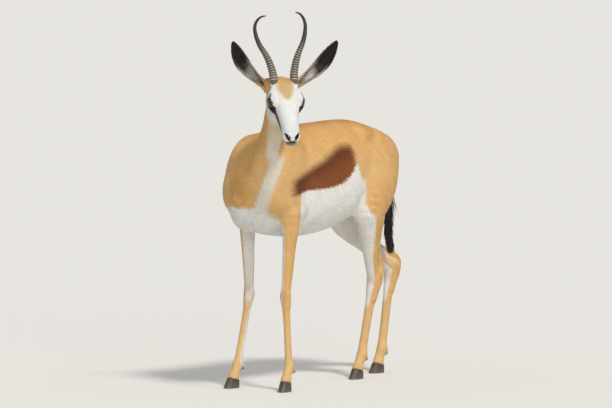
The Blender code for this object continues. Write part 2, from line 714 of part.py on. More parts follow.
def tail_hair(root):
    """The black tuft: locks rooted round the tail bone, hanging and splaying to the rear."""
    dice = np.random.default_rng(11)
    bone = smooth_rows(TAIL, 8)
    locks = bpy.data.collections.new("locks")
    low = [row for row in bone if row[2] < TUFT_TOP]
    turns = np.arange(8) * math.tau / 8
    tube = [[row[:3] + np.array((math.cos(t) * row[3], math.sin(t) * row[4], 0)) for t in turns]
            for row in bone[::2] if row[2] < TUFT_TOP + 0.06]
    pieces = [ringed("bone", tube[:-1], low[-1][:3])]
    for number in range(LOCKS):
        share = number / LOCKS
        row = low[int(share * (len(low) - 6))]
        turn = number * 2.39996
        out = np.array((math.cos(turn), 0.40 + math.sin(turn), 0)) * (0.20 + 0.20 * dice.random())
        way = out + np.array((0.0, 0.08, -1.0))
        length = min(0.062 + 0.030 * dice.random(), row[2] - 0.350)
        pieces.append(lock("lock", row[:3] - unit(way) * 0.003, way, length, 0.0066, 0.0022,
                           0.30, dice.uniform(-0.20, 0.20)))
    for piece in pieces:
        bpy.context.collection.objects.unlink(piece)
        locks.objects.link(piece)
    modifier = root.modifiers.new("hair", "BOOLEAN")
    modifier.operation = "UNION"
    modifier.operand_type = "COLLECTION"
    modifier.collection = locks
    modifier.solver = "EXACT"
    apply(root)
    for piece in pieces:
        remove(piece)
    bpy.data.collections.remove(locks)
    largest(root)


def round_eye(name, side):
    shape = bmesh.new()
    bmesh.ops.create_icosphere(shape, subdivisions=3, radius=EYE_RADIUS)
    mesh = bpy.data.meshes.new(name)
    shape.to_mesh(mesh)
    shape.free()
    piece = bpy.data.objects.new(name, mesh)
    bpy.context.collection.objects.link(piece)
    centre = on_head((side * EYE_PLACE[0], EYE_PLACE[1], EYE_PLACE[2]))
    for vertex in mesh.vertices:
        vertex.co = vertex.co + type(vertex.co)(centre)
    return piece


def coloured(piece, colour, roughness):
    material = bpy.data.materials.new(piece.name)
    material.use_nodes = True
    surface = material.node_tree.nodes["Principled BSDF"]
    surface.inputs["Base Color"].default_value = (*colour, 1)
    surface.inputs["Roughness"].default_value = roughness
    surface.inputs["Metallic"].default_value = 0.0
    piece.data.materials.clear()
    piece.data.materials.append(material)


TAN = (0.55, 0.27, 0.11)
WHITE = (0.78, 0.74, 0.68)
HORN_BROWN = (0.085, 0.065, 0.050)
CLAW_GREY = (0.14, 0.105, 0.08)
BLACK = (0.012, 0.009, 0.008)
TRIANGLES = {"body": 5300, "head": 4300}


def main():
    for piece in list(bpy.data.objects):
        bpy.data.objects.remove(piece)
    flesh = whole_flesh()
    body = solid("torso", *meshed(flesh, (-0.16, -0.14, -0.02), (0.19, 0.70, 0.90), 0.005))
    thinned(body, TRIANGLES["body"])
    around = (np.array(POLL) - (0.10, 0.18, 0.21), np.array(POLL) + (0.20, 0.10, 0.09))
    head = solid("head", *meshed(flesh, *around, 0.0021))
    thinned(head, TRIANGLES["head"])

    cut_place, cut_way = on_head(HEAD_CUT[0]), np.array(HEAD_CUT[1]) @ HEAD_AXES
    front = box_planes(*(np.array(around) + ((-0.1,) * 3, (0.1,) * 3))) + [(cut_place, -cut_way)]
    inside, outside = bounded("inside", front), bounded("outside", front, GAP)
    boolean(head, inside, "INTERSECT")
    boolean(body, outside, "DIFFERENCE")
    remove(inside)
    remove(outside)
    largest(head)
    largest(body)

    neck = parted(body, "neck", box_planes((-0.12, -0.25, 0.55), (0.25, 0.12, 1.0))
                  + [(NECK_CUT[0], -np.array(NECK_CUT[1]))])
    tail = parted(body, "tail", box_planes((-0.017, 0.572, 0.47), (0.017, 0.70, 0.72))
                  + [(TAIL_CUT[0], -np.array(TAIL_CUT[1]))])
    legs = {}
    for side, sign in (("left", 1), ("right", -1)):
        within = [((0, 0, 0), (-sign, 0, 0)), ((sign * 0.3, 0, 0), (sign, 0, 0))]
        planes = within + box_planes((-0.3, -0.16, -0.05), (0.3, 0.135, 0.69))[2:]
        planes.append(((sign * 0.045, 0, 0.44), (-sign * 0.98, 0, 0.196)))
        legs["fore", side] = parted(body, "foreleg_" + side, planes)
        planes = within + box_planes((-0.3, 0.3, -0.05), (0.3, 0.8, 0.71))[2:]
        planes.append(((sign * 0.030, 0, 0.46), (-sign * 0.97, 0, 0.243)))
        planes.append(((0, 0.335, 0.46), (0, -0.97, 0.20)))
        legs["hind", side] = parted(body, "hindleg_" + side, planes)
    largest(body)

    slope = math.tan(math.radians(CORONET_SLOPE))
    for (kind, side), leg in legs.items():
        x, y, _ = (FORE_JOINTS if kind == "fore" else HIND_JOINTS)[side][-1]
        turn = math.radians(FEET_OUT[leg.name]) * (1 if side == "left" else -1)
        ahead = np.array((math.sin(turn), -math.cos(turn), 0))
        planes = box_planes((x - 0.06, y - 0.08, -0.08), (x + 0.06, y + 0.08, 0.10))
        planes.append((np.array((x, y, CORONET)) + ahead * 0.004, np.array((0, 0, 1)) - ahead * slope))
        foot = bounded("foot", planes)
        boolean(leg, foot, "DIFFERENCE")
        remove(foot)
        largest(leg)
        for claw_side, sign in (("left", 1), ("right", -1)):
            piece = claw("claw_%s_%s_%s" % (kind, side, claw_side), (x, y), sign, turn)
            coloured(piece, CLAW_GREY, 0.6)
        coloured(leg, TAN, 0.85)

    shell = swollen(head, 0.0004)
    for side, sign in (("left", 1), ("right", -1)):
        for build, name, colour, rough in ((horn, "horn_", HORN_BROWN, 0.5), (ear, "ear_", TAN, 0.85)):
            piece = build(name + side, sign)
            boolean(piece, shell, "DIFFERENCE")
            largest(piece)
            coloured(piece, colour, rough)
    remove(shell)
    for side, sign in (("left", 1), ("right", -1)):
        eye = round_eye("eye_" + side, sign)
        socket = swollen(eye, 0.0004)
        boolean(head, socket, "DIFFERENCE")
        remove(socket)
        coloured(eye, BLACK, 0.15)
    largest(head)
    tail_hair(tail)
    coloured(tail, BLACK, 0.8)
    coloured(head, WHITE, 0.85)
    coloured(neck, TAN, 0.85)
    coloured(body, TAN, 0.85)

    stance = bpy.data.objects.new("stance", None)
    stance.location = (-MIDDLE[0], -MIDDLE[1], 0)
    bpy.context.collection.objects.link(stance)
    for piece in bpy.data.objects:
        if piece.type == "MESH":
            piece.parent = stance
            piece.data.shade_smooth()
            piece.data.set_sharp_from_angle(angle=math.radians(50))


main()
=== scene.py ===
"""The looks of the springbok ewe: one skin over its flesh with a short coat of tufts, ringed
horns, cupped ears, wet eyes, cloven claws and a black tail tuft.

Metres, +Z up. Places are measured from the ground midway between the forefeet, as in the
part, and SHIFT moves them to the middle of its box.
"""

import json
import math

import bmesh
import bpy
import numpy as np
import openvdb
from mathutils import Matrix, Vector

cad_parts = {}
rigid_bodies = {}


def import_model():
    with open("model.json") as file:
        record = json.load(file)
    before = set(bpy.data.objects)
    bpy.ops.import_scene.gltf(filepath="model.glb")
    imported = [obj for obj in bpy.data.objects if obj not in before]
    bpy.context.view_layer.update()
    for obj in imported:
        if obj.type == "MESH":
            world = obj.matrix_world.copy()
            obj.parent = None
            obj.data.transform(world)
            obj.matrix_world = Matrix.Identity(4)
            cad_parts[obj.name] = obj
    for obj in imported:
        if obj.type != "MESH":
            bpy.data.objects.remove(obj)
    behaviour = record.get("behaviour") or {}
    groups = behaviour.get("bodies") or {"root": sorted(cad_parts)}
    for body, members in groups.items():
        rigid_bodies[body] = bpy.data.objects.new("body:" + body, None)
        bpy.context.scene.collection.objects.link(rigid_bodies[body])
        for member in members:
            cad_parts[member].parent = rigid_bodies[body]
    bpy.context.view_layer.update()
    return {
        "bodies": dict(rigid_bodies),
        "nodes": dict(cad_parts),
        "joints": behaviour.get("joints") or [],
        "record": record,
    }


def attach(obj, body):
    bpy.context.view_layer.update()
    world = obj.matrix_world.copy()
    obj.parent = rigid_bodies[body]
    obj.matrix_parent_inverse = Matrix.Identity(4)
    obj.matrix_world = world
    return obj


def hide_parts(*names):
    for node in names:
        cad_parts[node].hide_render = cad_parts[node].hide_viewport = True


MIDDLE = (0.080, 0.246)
GAP = 0.0003

# Trunk, from the breast to the tail: place, back, underline, half width, widest height, squareness.
TRUNK = (
    (-0.080, 0.602, 0.540, 0.022, 0.572, 2.0),
    (-0.062, 0.645, 0.492, 0.054, 0.572, 2.0),
    (-0.030, 0.690, 0.462, 0.076, 0.585, 2.1),
    (0.010, 0.720, 0.446, 0.089, 0.592, 2.2),
    (0.060, 0.738, 0.436, 0.097, 0.592, 2.25),
    (0.120, 0.745, 0.429, 0.104, 0.580, 2.25),
    (0.190, 0.750, 0.429, 0.110, 0.570, 2.2),
    (0.260, 0.752, 0.437, 0.113, 0.578, 2.2),
    (0.330, 0.754, 0.455, 0.110, 0.592, 2.2),
    (0.390, 0.751, 0.485, 0.100, 0.610, 2.1),
    (0.450, 0.737, 0.515, 0.090, 0.630, 2.0),
    (0.505, 0.713, 0.545, 0.076, 0.630, 2.0),
    (0.545, 0.692, 0.565, 0.052, 0.630, 2.0),
    (0.584, 0.668, 0.600, 0.024, 0.632, 2.0),
)

# Neck, from the withers to the poll: x, y, z, half width, half depth, turn to her left in degrees.
NECK = (
    (0.010, 0.030, 0.600, 0.074, 0.118, 0.0),
    (0.036, -0.002, 0.652, 0.049, 0.088, 12.0),
    (0.066, -0.022, 0.704, 0.040, 0.067, 25.0),
    (0.096, -0.038, 0.754, 0.036, 0.054, 38.0),
    (0.115, -0.048, 0.800, 0.035, 0.047, 48.0),
    (0.127, -0.047, 0.842, 0.036, 0.045, 52.0),
)

# Head: its place, its turn to her left and how far the nose points down, in degrees.
POLL = (0.135, -0.058, 0.882)
HEAD_TURN = 52.0
HEAD_NOD = 40.0
# Skull, from the poll to the nose, laid out as the trunk is, in the head's own frame.
SKULL = (
    (-0.020, 0.010, -0.014, 0.012, -0.002, 2.0),
    (-0.006, 0.026, -0.036, 0.030, -0.004, 2.0),
    (0.020, 0.038, -0.050, 0.038, -0.004, 2.2),
    (0.050, 0.044, -0.060, 0.043, 0.000, 2.3),
    (0.080, 0.042, -0.057, 0.042, 0.004, 2.3),
    (0.105, 0.036, -0.049, 0.037, 0.004, 2.3),
    (0.135, 0.029, -0.041, 0.0302, 0.000, 2.3),
    (0.165, 0.022, -0.036, 0.0262, -0.004, 2.3),
    (0.190, 0.016, -0.034, 0.0252, -0.007, 2.4),
    (0.206, 0.009, -0.031, 0.0222, -0.009, 2.3),
    (0.214, 0.000, -0.025, 0.0155, -0.010, 2.0),
    (0.218, -0.006, -0.014, 0.0040, -0.010, 2.0),
)
EYE_PLACE = (0.0385, 0.088, 0.014)
EYE_RADIUS = 0.0155
EYE_LOOK = (0.84, 0.48, 0.20)
EYE_SLANT = 38.0
LID_WIDTH = 0.0145
LID_HEIGHT = 0.0102

# Leg joints on her left and right, from the body down to the middle of the foot.
FORE_JOINTS = {
    "left": ((0.083, 0.052, 0.475), (0.084, 0.024, 0.272), (0.089, 0.032, 0.068), (0.091, 0.014, 0.022)),
    "right": ((-0.083, 0.056, 0.475), (-0.079, 0.056, 0.268), (-0.087, 0.014, 0.068),
              (-0.089, -0.006, 0.022)),
}
HIND_JOINTS = {
    "left": ((0.055, 0.482, 0.655), (0.076, 0.388, 0.487), (0.047, 0.462, 0.287), (0.031, 0.426, 0.068),
             (0.029, 0.408, 0.022)),
    "right": ((-0.055, 0.482, 0.655), (-0.070, 0.446, 0.460), (-0.031, 0.634, 0.300), (-0.031, 0.592, 0.068),
              (-0.031, 0.574, 0.022)),
}
# Flesh of a leg: bone, share of its length, shift to the rear, half width, half depth.
FORE_FLESH = (
    (0, -0.12, 0.000, 0.0250, 0.0380),
    (0, 0.10, -0.002, 0.0205, 0.0290),
    (0, 0.35, -0.002, 0.0172, 0.0228),
    (0, 0.65, 0.000, 0.0145, 0.0185),
    (0, 0.88, 0.000, 0.0130, 0.0155),
    (1, 0.00, 0.000, 0.0150, 0.0175),
    (1, 0.10, 0.001, 0.0135, 0.0158),
    (1, 0.25, 0.001, 0.0100, 0.0125),
    (1, 0.55, 0.001, 0.0092, 0.0118),
    (1, 0.86, 0.001, 0.0100, 0.0128),
    (2, 0.00, 0.002, 0.0138, 0.0162),
    (2, 0.40, 0.000, 0.0125, 0.0142),
    (2, 0.80, 0.001, 0.0150, 0.0180),
    (2, 1.15, 0.002, 0.0165, 0.0200),
)
HIND_FLESH = (
    (0, 0.12, -0.004, 0.046, 0.062),
    (0, 0.55, 0.018, 0.048, 0.074),
    (0, 0.95, 0.018, 0.040, 0.056),
    (1, 0.16, 0.016, 0.035, 0.050),
    (1, 0.42, 0.008, 0.0270, 0.0350),
    (1, 0.70, 0.000, 0.0185, 0.0235),
    (1, 0.90, 0.000, 0.0165, 0.0220),
    (2, 0.00, 0.002, 0.0185, 0.0255),
    (2, 0.12, 0.002, 0.0165, 0.0215),
    (2, 0.30, 0.001, 0.0122, 0.0165),
    (2, 0.60, 0.001, 0.0110, 0.0148),
    (2, 0.88, 0.001, 0.0115, 0.0150),
    (3, 0.00, 0.003, 0.0148, 0.0182),
    (3, 0.40, 0.000, 0.0130, 0.0150),
    (3, 0.80, 0.001, 0.0150, 0.0180),
    (3, 1.15, 0.002, 0.0165, 0.0200),
)

# Tail dock: x, y, z, half width, half depth, turn.
TAIL = (
    (0.000, 0.560, 0.662, 0.019, 0.019, 0.0),
    (0.000, 0.584, 0.654, 0.0155, 0.0150, 0.0),
    (0.000, 0.598, 0.632, 0.0120, 0.0110, 0.0),
    (0.001, 0.600, 0.590, 0.0095, 0.0090, 0.0),
    (0.001, 0.592, 0.550, 0.0085, 0.0080, 0.0),
    (0.002, 0.580, 0.500, 0.0070, 0.0065, 0.0),
    (0.004, 0.576, 0.450, 0.0055, 0.0050, 0.0),
    (0.006, 0.583, 0.405, 0.0035, 0.0035, 0.0),
)

# Horns, in the head's frame turned level: out to the side, back and up, then the thickness.
HORN = (
    (0.0270, 0.004, -0.012, 0.0268),
    (0.0285, 0.000, 0.004, 0.0262),
    (0.0312, 0.008, 0.030, 0.0238),
    (0.0388, 0.018, 0.060, 0.0208),
    (0.0495, 0.028, 0.085, 0.0178),
    (0.0610, 0.038, 0.106, 0.0155),
    (0.0690, 0.046, 0.128, 0.0132),
    (0.0725, 0.052, 0.147, 0.0116),
    (0.0725, 0.055, 0.160, 0.0104),
    (0.0695, 0.056, 0.172, 0.0092),
    (0.0635, 0.055, 0.182, 0.0078),
    (0.0560, 0.052, 0.189, 0.0062),
    (0.0490, 0.048, 0.192, 0.0048),
    (0.0420, 0.043, 0.193, 0.0030),
)
HORN_PLACE = (0.0, 0.030, 0.036)
HORN_RINGS = 18
HORN_RINGED = 0.62
HORN_RISE = {"left": 1.012, "right": 0.968}

# Ears: root on the skull, tip beyond it (out, back, up), and half widths along the length.
EAR_ROOT = (0.044, -0.002, -0.005)
EAR_TIP = {"left": (0.1175, -0.020, 0.127), "right": (0.0990, -0.020, 0.130)}
EAR_FACING = -0.15
EAR_HALVES = ((0.0, 0.0130), (0.2, 0.0150), (0.4, 0.0195), (0.56, 0.0218), (0.72, 0.0200),
              (0.86, 0.0142), (0.95, 0.0075), (1.0, 0.0020))
EAR_WALL = 0.0030

# Claws: length of the sole, width of one, gap between the two, and the height of the coronet.
CLAW_LENGTH = 0.051
CLAW_WIDTH = 0.0148
CLAW_GAP = 0.0016
CORONET = 0.0270
CORONET_SLOPE = 14.0
FEET_OUT = {"foreleg_left": 16.0, "foreleg_right": 2.0, "hindleg_left": 6.0, "hindleg_right": 2.0}


def unit(vector):
    vector = np.asarray(vector, float)
    return vector / np.linalg.norm(vector)


def smooth_rows(rows, steps):
    """The rows with more between them, along a smooth curve through all of them."""
    rows = np.asarray(rows, float)
    ends = np.vstack([2 * rows[0] - rows[1], rows, 2 * rows[-1] - rows[-2]])
    found = []
    for before, start, stop, after in zip(ends, ends[1:], ends[2:], ends[3:]):
        for t in np.arange(steps) / steps:
            bend = 2 * before - 5 * start + 4 * stop - after
            twist = 3 * start - before - 3 * stop + after
            found.append(start + 0.5 * t * (stop - before + t * (bend + t * twist)))
    found.append(rows[-1])
    return np.array(found)


def head_frame():
    """Rows: to her left across the head, along it to the nose, and up out of the forehead."""
    turn, nod = math.radians(HEAD_TURN), math.radians(HEAD_NOD)
    level = np.array([math.sin(turn), -math.cos(turn), 0.0])
    left = np.array([math.cos(turn), math.sin(turn), 0.0])
    nose = level * math.cos(nod) + np.array([0, 0, -math.sin(nod)])
    return np.array([left, nose, np.cross(nose, left)])


HEAD_AXES = head_frame()
LEVEL_AXES = np.array([HEAD_AXES[0], np.cross((0, 0, 1), HEAD_AXES[0]), (0, 0, 1)])


def on_head(place):
    """A place in the head's frame, as a place beside the body."""
    return np.asarray(POLL) + np.asarray(place, float) @ HEAD_AXES


# Shapes of the field: each gives a signed distance, negative inside.


class Ball:
    """An ellipsoid, turned by the axes in its rows."""

    def __init__(self, centre, radii, axes=None):
        self.centre = np.asarray(centre, float)
        self.radii = np.asarray(radii, float)
        self.axes = np.eye(3) if axes is None else np.asarray(axes, float)

    def __call__(self, points):
        local = (points - self.centre) @ self.axes.T
        near = np.linalg.norm(local / self.radii, axis=1)
        slope = np.linalg.norm(local / self.radii**2, axis=1)
        return near * (near - 1) / np.maximum(slope, 1e-6)


class Limb:
    """Flesh round a smooth curve: x, y, z, half width, half depth, turn of the width in degrees."""

    def __init__(self, rows, steps=4):
        rows = smooth_rows(rows, steps)
        turn = np.radians(rows[:, 5])
        self.points, self.sizes = rows[:, :3], rows[:, 3:5]
        along = np.gradient(self.points, axis=0)
        along /= np.linalg.norm(along, axis=1)[:, None]
        side = np.stack([np.cos(turn), np.sin(turn), 0 * turn], 1)
        side -= along * np.sum(side * along, 1)[:, None]
        side /= np.linalg.norm(side, axis=1)[:, None]
        self.frames = np.stack([side, np.cross(along, side), along], 1)

    def __call__(self, points):
        nearest = np.full(len(points), 9.0)
        for i, (start, stop) in enumerate(zip(self.points, self.points[1:])):
            along = stop - start
            length = np.linalg.norm(along)
            along = along / length
            off = points - start
            share = np.clip(off @ along / length, 0, 1)[:, None]
            off = off - share * length * along
            far = np.linalg.norm(off, axis=1)
            frame, after = self.frames[i], self.frames[i + 1]
            local = (off @ frame.T) * (1 - share) + (off @ after.T) * share
            size = self.sizes[i] * (1 - share) + self.sizes[i + 1] * share
            around = np.hypot(local[:, 0] / size[:, 0], local[:, 1] / size[:, 1])
            reach = (np.hypot(local[:, 0], local[:, 1]) + 1e-7) / (around + 1e-7 / size.min(axis=1))
            ratio = np.hypot(around, local[:, 2] / reach)
            nearest = np.minimum(nearest, far - far / np.maximum(ratio, 1e-6))
        return nearest


class Hull:
    """Egg-shaped sections along one axis: place, top, bottom, half width, widest, squareness."""

    def __init__(self, rows, origin=(0, 0, 0), axes=None):
        self.table = smooth_rows(rows, 6).T
        self.origin = np.asarray(origin, float)
        self.axes = np.eye(3) if axes is None else axes

    def __call__(self, points):
        local = (points - self.origin) @ self.axes.T
        place = np.clip(local[:, 1], self.table[0, 0], self.table[0, -1])
        top, bottom, half, widest, power = (
            np.interp(place, self.table[0], column) for column in self.table[1:])
        across, up = np.abs(local[:, 0]), local[:, 2] - widest
        reach = np.where(up > 0, top - widest, widest - bottom)
        ratio = ((across / half) ** power + (np.abs(up) / reach) ** power) ** (1 / power)
        far = np.hypot(across, up)
        value = far - far / np.maximum(ratio, 1e-6)
        beyond = np.abs(local[:, 1] - place)
        return np.where(beyond > 0, np.hypot(np.maximum(value, 0), beyond), value)


class Almond:
    """The opening between the lids: a leaf shape carried out along the look of the eye."""

    def __init__(self, centre, axes, width, height):
        self.centre, self.axes = np.asarray(centre), axes
        self.width, self.height = width, height

    def __call__(self, points):
        local = (points - self.centre) @ self.axes.T
        leaf = self.height * (1 - (local[:, 0] / self.width) ** 2)
        value = (np.abs(local[:, 1]) - leaf) / 1.3
        return np.maximum(value, 0.006 - local[:, 2])


def soft_least(a, b, blend):
    """The least of two fields, with a fillet of about that size where they meet."""
    near = np.maximum(blend - np.abs(a - b), 0) / blend
    return np.minimum(a, b) - near * near * blend / 4


class Flesh:
    """Shapes joined, or cut away, one after another, each with its own fillet."""

    def __init__(self):
        self.steps = []

    def add(self, shape, blend):
        self.steps.append((1, shape, blend))

    def cut(self, shape, blend):
        self.steps.append((-1, shape, blend))

    def near(self, centres, reach):
        """For each centre, which shapes matter within reach of it."""
        return np.array([shape(centres) < reach + blend for _, shape, blend in self.steps])

    def value(self, points, chosen=None):
        found = np.full(len(points), 9.0)
        for i, (sign, shape, blend) in enumerate(self.steps):
            if chosen is not None and not chosen[i]:
                continue
            if sign > 0:
                found = soft_least(found, shape(points), blend)
            else:
                found = -soft_least(-found, shape(points), blend)
        return found


def both(place):
    """The place on her left and the same on her right."""
    x, y, z = place
    return (x, y, z), (-x, y, z)


def tilted(degrees):
    """Axes leaning back at the top by that angle, about the line across the body."""
    turn = math.radians(degrees)
    return np.array([[1, 0, 0], [0, math.cos(turn), -math.sin(turn)], [0, math.sin(turn), math.cos(turn)]])


def leg_rows(joints, flesh):
    rows = []
    for bone, share, back, width, depth in flesh:
        start, stop = np.array(joints[bone]), np.array(joints[bone + 1])
        x, y, z = start + (stop - start) * share
        rows.append((x, y + back, z, width, depth, 0.0))
    return rows


def add_trunk(flesh):
    flesh.add(Hull(TRUNK), 0.02)
    flesh.add(Limb(NECK), 0.045)
    flesh.add(Ball((0, -0.044, 0.510), (0.055, 0.036, 0.052)), 0.03)
    for place in both((0.073, 0.028, 0.628)):
        flesh.add(Ball(place, (0.033, 0.058, 0.092), tilted(20)), 0.050)
    for place in both((0.064, -0.018, 0.556)):
        flesh.add(Ball(place, (0.032, 0.040, 0.050)), 0.03)
    for place in both((0.080, 0.046, 0.528)):
        flesh.add(Ball(place, (0.026, 0.058, 0.048), tilted(30)), 0.03)
    for place in both((0.052, 0.455, 0.660)):
        flesh.add(Ball(place, (0.042, 0.078, 0.054), tilted(10)), 0.035)
    for place in both((0.046, 0.490, 0.600)):
        flesh.add(Ball(place, (0.042, 0.052, 0.080), tilted(12)), 0.035)
    for place in both((0.058, 0.395, 0.708)):
        flesh.add(Ball(place, (0.022, 0.026, 0.018)), 0.03)
    flesh.add(Limb(TAIL[:6]), 0.010)


def add_legs(flesh):
    for side in ("left", "right"):
        flesh.add(Limb(leg_rows(FORE_JOINTS[side], FORE_FLESH)), 0.022)
        flesh.add(Limb(leg_rows(HIND_JOINTS[side], HIND_FLESH)), 0.030)
        _, stifle, hock, fetlock, _ = (np.array(joint) for joint in HIND_JOINTS[side])
        heel = hock + (0, 0.030, 0.020)
        calf = hock + (stifle - hock) * 0.66 + (0, 0.026, 0.000)
        shank = hock + (fetlock - hock) * 0.25 + (0, 0.008, 0)
        tendon = ((*calf, 0.015, 0.022, 0), (*(calf * 0.5 + heel * 0.5), 0.0095, 0.012, 0),
                  (*heel, 0.0105, 0.0125, 0), (*shank, 0.010, 0.011, 0))
        flesh.add(Limb(tendon), 0.014)
        for joints in (FORE_JOINTS[side], HIND_JOINTS[side]):
            x, y, z = joints[-2]
            for across in (-0.007, 0.007):
                flesh.add(Ball((x + across, y + 0.015, z - 0.008), (0.0048, 0.0062, 0.0075)), 0.004)


def eye_axes(side):
    """Rows: along the lids from the inner corner, across them, and out along the look."""
    look = unit((side * EYE_LOOK[0], EYE_LOOK[1], EYE_LOOK[2]) @ HEAD_AXES)
    slant = math.radians(EYE_SLANT)
    along = np.array([0, -math.cos(slant), math.sin(slant)]) @ HEAD_AXES
    along = unit(along - look * (along @ look))
    return np.array([along, np.cross(look, along), look])


def add_head(flesh):
    def ball(place, radii, blend):
        for side in (1, -1):
            flesh.add(Ball(on_head((side * place[0], place[1], place[2])), radii, HEAD_AXES), blend)

    flesh.add(Hull(SKULL, POLL, HEAD_AXES), 0.022)
    ball((0.030, 0.050, -0.028), (0.014, 0.040, 0.028), 0.014)
    ball((0.037, 0.072, -0.004), (0.009, 0.034, 0.009), 0.012)
    ball((0.036, 0.070, 0.026), (0.012, 0.022, 0.011), 0.012)
    ball((0.026, 0.030, 0.034), (0.015, 0.016, 0.014), 0.012)
    ball((0.037, -0.002, 0.002), (0.0145, 0.0155, 0.0175), 0.012)
    ball((0.0115, 0.197, -0.012), (0.0135, 0.018, 0.013), 0.008)
    ball((0.008, 0.203, 0.000), (0.009, 0.012, 0.008), 0.006)
    ball((0.006, 0.192, -0.031), (0.010, 0.021, 0.010), 0.008)
    for side in (1, -1):
        centre = on_head((side * EYE_PLACE[0], EYE_PLACE[1], EYE_PLACE[2]))
        axes = eye_axes(side)
        flesh.add(Ball(centre, (0.0190, 0.0185, EYE_RADIUS + 0.0024), axes), 0.011)
        flesh.cut(Almond(centre, axes, LID_WIDTH, LID_HEIGHT), 0.0015)
        nostril = on_head((side * 0.0118, 0.2090, -0.001))
        flare = unit((side * 0.75, -0.30, 0.55) @ HEAD_AXES)
        inward = unit(np.cross(flare, HEAD_AXES[0]))
        flesh.cut(Ball(nostril, (0.0095, 0.0046, 0.0038), (flare, inward, np.cross(flare, inward))), 0.002)
        lips = [(side * x, y, z) for x, y, z in (
            (0.000, 0.2160, -0.0170), (0.0115, 0.2125, -0.0190), (0.0212, 0.1975, -0.0205),
            (0.0258, 0.1780, -0.0205), (0.0278, 0.1600, -0.0180))]
        rows = [(*on_head(place), 0.0025, 0.0022, HEAD_TURN) for place in lips]
        flesh.cut(Limb(rows, 3), 0.002)


def whole_flesh():
    flesh = Flesh()
    add_trunk(flesh)
    add_legs(flesh)
    add_head(flesh)
    return flesh


# Meshing.
BLOCK = 16


def meshed(flesh, low, high, step):
    """Points and quads of the flesh's surface inside a box, on a grid of that step."""
    low = np.asarray(low, float)
    count = (np.ceil((np.asarray(high) - low) / step / BLOCK).astype(int)) * BLOCK
    field = np.full(count, 3 * step, np.float32)
    corners = np.stack(np.meshgrid(*(np.arange(0, n, BLOCK) for n in count), indexing="ij"), -1)
    corners = corners.reshape(-1, 3)
    centres = low + (corners + BLOCK / 2) * step
    radius = BLOCK * step * 0.87
    rough = flesh.value(centres)
    chosen = flesh.near(centres, radius * 1.5)
    cells = np.stack(np.meshgrid(*(np.arange(BLOCK),) * 3, indexing="ij"), -1).reshape(-1, 3)
    for n, corner in enumerate(corners):
        i, j, k = corner
        block = field[i:i + BLOCK, j:j + BLOCK, k:k + BLOCK]
        if rough[n] < -1.6 * radius:
            block[:] = -3 * step
        elif rough[n] < 1.6 * radius and chosen[:, n].any():
            values = flesh.value(low + (corner + cells) * step, chosen[:, n])
            block[:] = np.clip(values, -3 * step, 3 * step).reshape(block.shape)
    for side in (0, -1):
        field[side], field[:, side], field[:, :, side] = 3 * step, 3 * step, 3 * step
    grid = openvdb.FloatGrid(3 * step)
    grid.copyFromArray(field)
    points, quads = grid.convertToQuads(0.0)
    return points * step + low, quads


SHIFT = np.array((-MIDDLE[0], -MIDDLE[1], 0.0))
DICE = np.random.default_rng(7)
SIDES = (("left", 1), ("right", -1))

# How far the skin lies inside the solids: on the body, and on the head and the lower legs.
BODY_DEPTH = 0.0022
FACE_DEPTH = 0.0009
SKIN_BOX = ((-0.17, -0.26, -0.012), (0.33, 0.70, 0.95))
SKIN_STEP = 0.0046
SLOPE_STEP = 0.0003
TUFTS_IN_A_PIECE = 18500
UV_PATCH = 0.003

# Colours, as in the summer coat.
TAN = np.array((0.640, 0.350, 0.115))
TAN_PALE = np.array((0.700, 0.460, 0.200))
TAN_DEEP = np.array((0.44, 0.165, 0.045))
TAN_CROWN = np.array((0.55, 0.340, 0.120))
BROWN = np.array((0.110, 0.024, 0.006))
BROWN_RICH = np.array((0.235, 0.062, 0.014))
BROWN_CHEEK = np.array((0.060, 0.021, 0.012))
WHITE = np.array((0.74, 0.725, 0.675))
CREAM = np.array((0.66, 0.53, 0.35))
DARK = np.array((0.012, 0.009, 0.008))
# Grey of the painted shade under the chin.
CHIN_SHADE = np.array((0.0600, 0.0525, 0.0450))
EAR_DARK = np.array((0.020, 0.017, 0.015))
EAR_PALE = np.array((0.64, 0.60, 0.53))

# Markings, as places along the body and their heights: the flank band's lower and upper edge, the
# rear edge of the white strip on a hind leg (height, share of the depth), and the breast's stripe.
BAND_LOW = ((-0.02, 0.04, 0.10, 0.19, 0.24, 0.27, 0.30, 0.33),
            (0.548, 0.560, 0.569, 0.572, 0.581, 0.595, 0.620, 0.655))
BAND_HIGH = ((-0.02, 0.04, 0.11, 0.18, 0.23, 0.26, 0.30, 0.33),
             (0.604, 0.614, 0.634, 0.660, 0.684, 0.692, 0.692, 0.688))
STRIP_EDGE = ((0.17, 0.22, 0.30, 0.367, 0.42, 0.476, 0.511, 0.58),
              (-1.4, -0.75, -0.50, -0.45, -0.25, -0.25, -0.85, -1.3))
BREAST_MIDDLE = ((0.526, 0.562, 0.598, 0.633, 0.669), (0.006, 0.017, 0.031, 0.045, 0.056))
BREAST_SIDE = np.array((0.766, 0.643, 0.0))
BREAST_FRONT = np.array((0.643, -0.766, 0.0))
# On the head, along to the nose: the height and half width of the cheek stripe. Up the nose: how
# far out its dark edge runs.
CHEEK_UP = ((0.095, 0.12, 0.15, 0.18), (0.006, -0.002, -0.011, -0.019))
CHEEK_HALF = ((0.095, 0.115, 0.145, 0.170, 0.190), (0.0075, 0.0090, 0.0105, 0.0085, 0.0050))
NOSE_EDGE = ((-0.0135, -0.0100, -0.0030, 0.0050), (0.0010, 0.0068, 0.0145, 0.0190))
LIP_LINE = ((0.0, 0.2160, -0.0170), (0.0115, 0.2125, -0.0190), (0.0212, 0.1975, -0.0205),
            (0.0250, 0.1800, -0.0205))
# The dark wing behind the outer corner of the eye, above the middle of the lids.
EYE_WING = 0.0030

